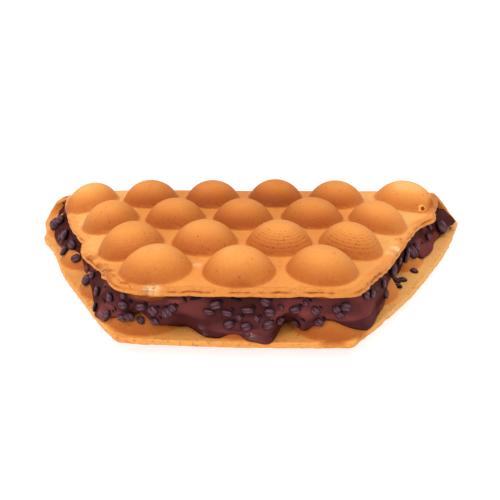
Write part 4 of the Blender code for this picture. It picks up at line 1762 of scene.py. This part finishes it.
@dataclass(frozen=True)
class Beans:
    """Small roasted beans, each a flattened oval with a bent crease along its upper side."""

    laid: LyingThings
    grow: float = 1.08
    thickness: float = 0.42
    under: float = 0.8
    lumps: float = 0.16
    lump_scale: float = 3.0
    bend: float = 0.05
    crease_width: float = 0.09
    crease_depth: float = 0.16
    lines: tuple[float, ...] = (0.11, 0.28)
    line_width: float = 0.042
    line_end: float = 0.46
    back_tone: float = 0.45
    line_tone: float = 0.55
    groove_tone: float = -0.15
    sides: int = 24
    rings: int = 14
    lifted: float = 0.4
    painted_shade_top: float = 0.42
    sunk: float = 0.04

    def add(self, bm: bmesh.types.BMesh, layer: object, spot: BeanSpot) -> None:
        """Add one bean.

        Args:
            bm: The beans so far.
            layer: The float layer that marks the crease.
            spot: Where it lies.
        """
        seat = self.laid.seat(spot)
        if seat is None:
            return
        verts = bmesh.ops.create_uvsphere(
            bm, u_segments=self.sides, v_segments=self.rings, radius=0.5
        )["verts"]
        seed = Vector((spot.u, spot.v, 0.0))
        for vertex in verts:
            lump = self.lumps * noise.noise(vertex.co * self.lump_scale + seed)
            z, x, y = vertex.co * (1.0 + lump)
            side = y - self.bend * math.sin(math.tau * x)
            groove = math.exp(-((side / self.crease_width) ** 2)) if z > 0.0 else 0.0
            open_length = 2.0 * max(0.0, 0.5 - abs(x))
            z = z - self.crease_depth * groove * open_length if z > 0.0 else z * self.under
            vertex.co = (x, y * spot.width, z * self.thickness)
            lines = sum(math.exp(-(((abs(side) - at) / self.line_width) ** 2)) for at in self.lines)
            ridge = lines * min(1.0, 4.0 * max(0.0, self.line_end - abs(x)))
            tone = self.back_tone + self.line_tone * ridge * (1.0 - 0.8 * groove)
            # Painted shade: the colour darkens to near-black low on the bean's sides, and it is
            # darker along the groove.
            top = min(1.0, max(0.0, vertex.co.z / (self.painted_shade_top * self.thickness)))
            vertex[layer] = (tone + self.groove_tone * groove) * top
        size = Matrix.Scale(spot.length_mm * MM * self.grow, 4)
        lift = Matrix.Translation((0.0, 0.0, self.lifted * self.thickness - self.sunk))
        bmesh.ops.transform(bm, matrix=seat @ size @ lift, verts=verts)
        outside = CAD_LOW[1] - min(vertex.co.y for vertex in verts)
        if outside > 0.0:
            bmesh.ops.translate(bm, vec=(0.0, outside, 0.0), verts=verts)

    def build(
        self, name: str, spots: Sequence[BeanSpot], material: bpy.types.Material
    ) -> bpy.types.Object:
        """Make beans at some spots as one piece.

        Args:
            name: The piece's name.
            spots: Where the beans lie.
            material: Their finish.

        Returns:
            The beans.
        """
        bm = bmesh.new()
        layer = bm.verts.layers.float.new("crease")
        for spot in spots:
            self.add(bm, layer, spot)
        bmesh.ops.recalc_face_normals(bm, faces=bm.faces[:])
        return finish_piece(bm, name, material)


@dataclass(frozen=True)
class Blister:
    """A bubble that burst as it baked: a low uneven ring of pale batter round a dark hole.

    The profile gives the radius, the height and the tone of each ring, from the hole outwards.
    """

    laid: LyingThings
    spot: BeanSpot = BeanSpot(422.0, 209.0, 0.0, 4.0)
    profile: tuple[Triple, ...] = (
        (0.00060, 0.00012, 1.3),
        (0.00085, 0.00020, 0.9),
        (0.00105, 0.00062, 0.25),
        (0.00130, 0.00070, 0.12),
        (0.00165, 0.00048, 0.12),
        (0.00215, 0.00005, 0.2),
        (0.00225, -0.00080, 0.2),
    )
    sides: int = 48
    grow: float = 1.12
    lobes: float = 1.6
    uneven_width: float = 0.22
    uneven_height: float = 0.45
    seed: Triple = (3.0, 1.0, 4.0)

    def build(self, material: bpy.types.Material) -> bpy.types.Object | None:
        """Make the blister.

        Args:
            material: The batter's finish.

        Returns:
            The blister, or None where nothing lies under its pixel.
        """
        seat = self.laid.seat(self.spot)
        if seat is None:
            return None
        bm = bmesh.new()
        bake = bm.verts.layers.float.new("bake")
        loops = []
        for radius, height, tone in self.profile:
            verts = bmesh.ops.create_circle(bm, segments=self.sides, radius=radius)["verts"]
            for vertex in verts:
                rough = noise.noise(vertex.co.normalized() * self.lobes + Vector(self.seed))
                vertex.co *= 1.0 + self.uneven_width * rough
                vertex.co.z = height * (1.0 + self.uneven_height * rough)
                vertex[bake] = tone
            loops.append(list({e for v in verts for e in v.link_edges}))
        for inner, outer in zip(loops, loops[1:]):
            bmesh.ops.bridge_loops(bm, edges=inner + outer)
        bmesh.ops.holes_fill(bm, edges=loops[0] + loops[-1], sides=0)
        bmesh.ops.recalc_face_normals(bm, faces=bm.faces[:])
        bmesh.ops.transform(bm, matrix=seat @ Matrix.Scale(self.grow, 4), verts=bm.verts[:])
        return finish_piece(bm, "burst_blister", material)


@dataclass(frozen=True)
class ShadowHusks:
    """Thin near-black chips of bean husk, scattered beside the beans and where the picture shows
    more.
    They are painted shadow: dark things put where the beans' shadows fall.

    Beside a bean, a chip lies across and above it by shares of its length, give or take a stray, in
    pixels.
    """

    laid: LyingThings
    width: float = 0.36
    thickness: float = 0.30
    raised: float = 0.2
    bow: float = 0.10
    taper: float = 0.5
    missing: float = 0.15
    across: float = 1.20
    above: float = 0.72
    stray: Pair = (-0.4, 0.6)
    slants: Pair = (-55.0, -30.0)
    lengths_mm: Pair = (1.9, 2.8)
    seed: int = 5

    def spots(self) -> list[tuple[BeanSpot, int | None]]:
        """Return the spots that are seen in the picture, and one on the sauce beside most beans."""
        chance = random.Random(self.seed)
        found: list[tuple[BeanSpot, int | None]] = [(spot, None) for spot in SHADOW_HUSK_SPOTS]
        for bean in BEAN_SPOTS:
            if chance.random() < self.missing:
                continue
            across = self.across * bean.length_mm + chance.uniform(*self.stray)
            above = self.above * bean.length_mm + chance.uniform(*self.stray)
            slant, length = chance.uniform(*self.slants), chance.uniform(*self.lengths_mm)
            found.append((BeanSpot(bean.u + across, bean.v - above, slant, length), SAUCE))
        return found

    def build(self, material: bpy.types.Material) -> bpy.types.Object:
        """Make the husks as one piece.

        Args:
            material: Their finish.

        Returns:
            The husks.
        """
        bm = bmesh.new()
        # The crease layer stays 0, so every chip takes the skin's near-black painted shade.
        bm.verts.layers.float.new("crease")
        for spot, wanted in self.spots():
            seat = self.laid.seat(spot, wanted)
            if seat is None:
                continue
            verts = bmesh.ops.create_icosphere(bm, subdivisions=2, radius=0.5)["verts"]
            for vertex in verts:
                x, y, z = vertex.co
                taper = 1.0 - self.taper * abs(2.0 * x) ** 1.5
                y = y * self.width * taper + self.bow * math.cos(math.pi * x)
                vertex.co = (x, y, (z + self.raised) * self.thickness * taper)
            matrix = seat @ Matrix.Scale(spot.length_mm * MM, 4)
            bmesh.ops.transform(bm, matrix=matrix, verts=verts)
        return finish_piece(bm, "bean_husks_as_shadows", material)


class Lamp(NamedTuple):
    """A light aimed at the waffle: its kind, where it comes from, its power and how wide it is."""

    name: str
    kind: str
    place: Triple
    energy: float
    measure: str
    width: float


@dataclass(frozen=True)
class Studio:
    """Plain pale floor, soft light from above, a small spark of light and a bright surround."""

    floor_size: float = 60.0
    surround: float = 0.80
    aim: Triple = (0.0, 0.0, 0.02)
    lamps: tuple[Lamp, ...] = (
        Lamp("key", "SUN", (-0.10, -0.26, 0.60), 1.56, "angle", math.radians(60.0)),
        Lamp("spark", "AREA", (-0.35, -0.42, 0.33), 0.50, "size", 0.050),
    )

    def build(self) -> None:
        """Add the floor, the surround and the lights."""
        bm = bmesh.new()
        bmesh.ops.create_grid(bm, x_segments=1, y_segments=1, size=self.floor_size / 2.0)
        mesh = bpy.data.meshes.new("floor")
        bm.to_mesh(mesh)
        bm.free()
        mesh.materials.append(PaleFloor().build())
        floor = bpy.data.objects.new("floor", mesh)
        bpy.context.scene.collection.objects.link(floor)

        world = bpy.data.worlds.new("surround")
        world.use_nodes = True
        background = world.node_tree.nodes["Background"]
        background.inputs["Color"].default_value = (1.0, 1.0, 1.0, 1.0)
        background.inputs["Strength"].default_value = self.surround
        bpy.context.scene.world = world
        bpy.context.scene.view_settings.view_transform = "Standard"

        for lamp in self.lamps:
            data = bpy.data.lights.new(lamp.name, lamp.kind)
            data.energy = lamp.energy
            setattr(data, lamp.measure, lamp.width)
            light = bpy.data.objects.new(lamp.name, data)
            turn = (Vector(self.aim) - Vector(lamp.place)).to_track_quat("-Z", "Y").to_matrix()
            light.matrix_world = Matrix.Translation(lamp.place) @ turn.to_4x4()
            bpy.context.scene.collection.objects.link(light)


def main() -> None:
    """Build the picture: the studio, the waffle, its sauce and what lies on them."""
    logging.basicConfig(level=logging.INFO, format="%(name)s: %(message)s")
    camera = PhotoCamera()
    camera.build()
    Studio().build()

    form = FoldedSheet()
    batter = BakedBatter().build()
    waffle = WaffleShell(form).build(batter)
    sauce = SauceBody(form, camera).build(ThickChocolate().build())

    bpy.context.view_layer.update()
    graph = bpy.context.evaluated_depsgraph_get()
    surfaces = tuple(BVHTree.FromObject(piece, graph) for piece in (waffle, sauce))
    laid = LyingThings(camera, surfaces)
    skin = RoastedSkin().build()
    Beans(laid).build("roasted_beans", BEAN_SPOTS, skin)
    Beans(laid).build("large_beans", BIG_BEAN_SPOTS, skin)
    ShadowHusks(laid).build(skin)
    Blister(laid).build(batter)


if __name__ == "__main__":
    main()
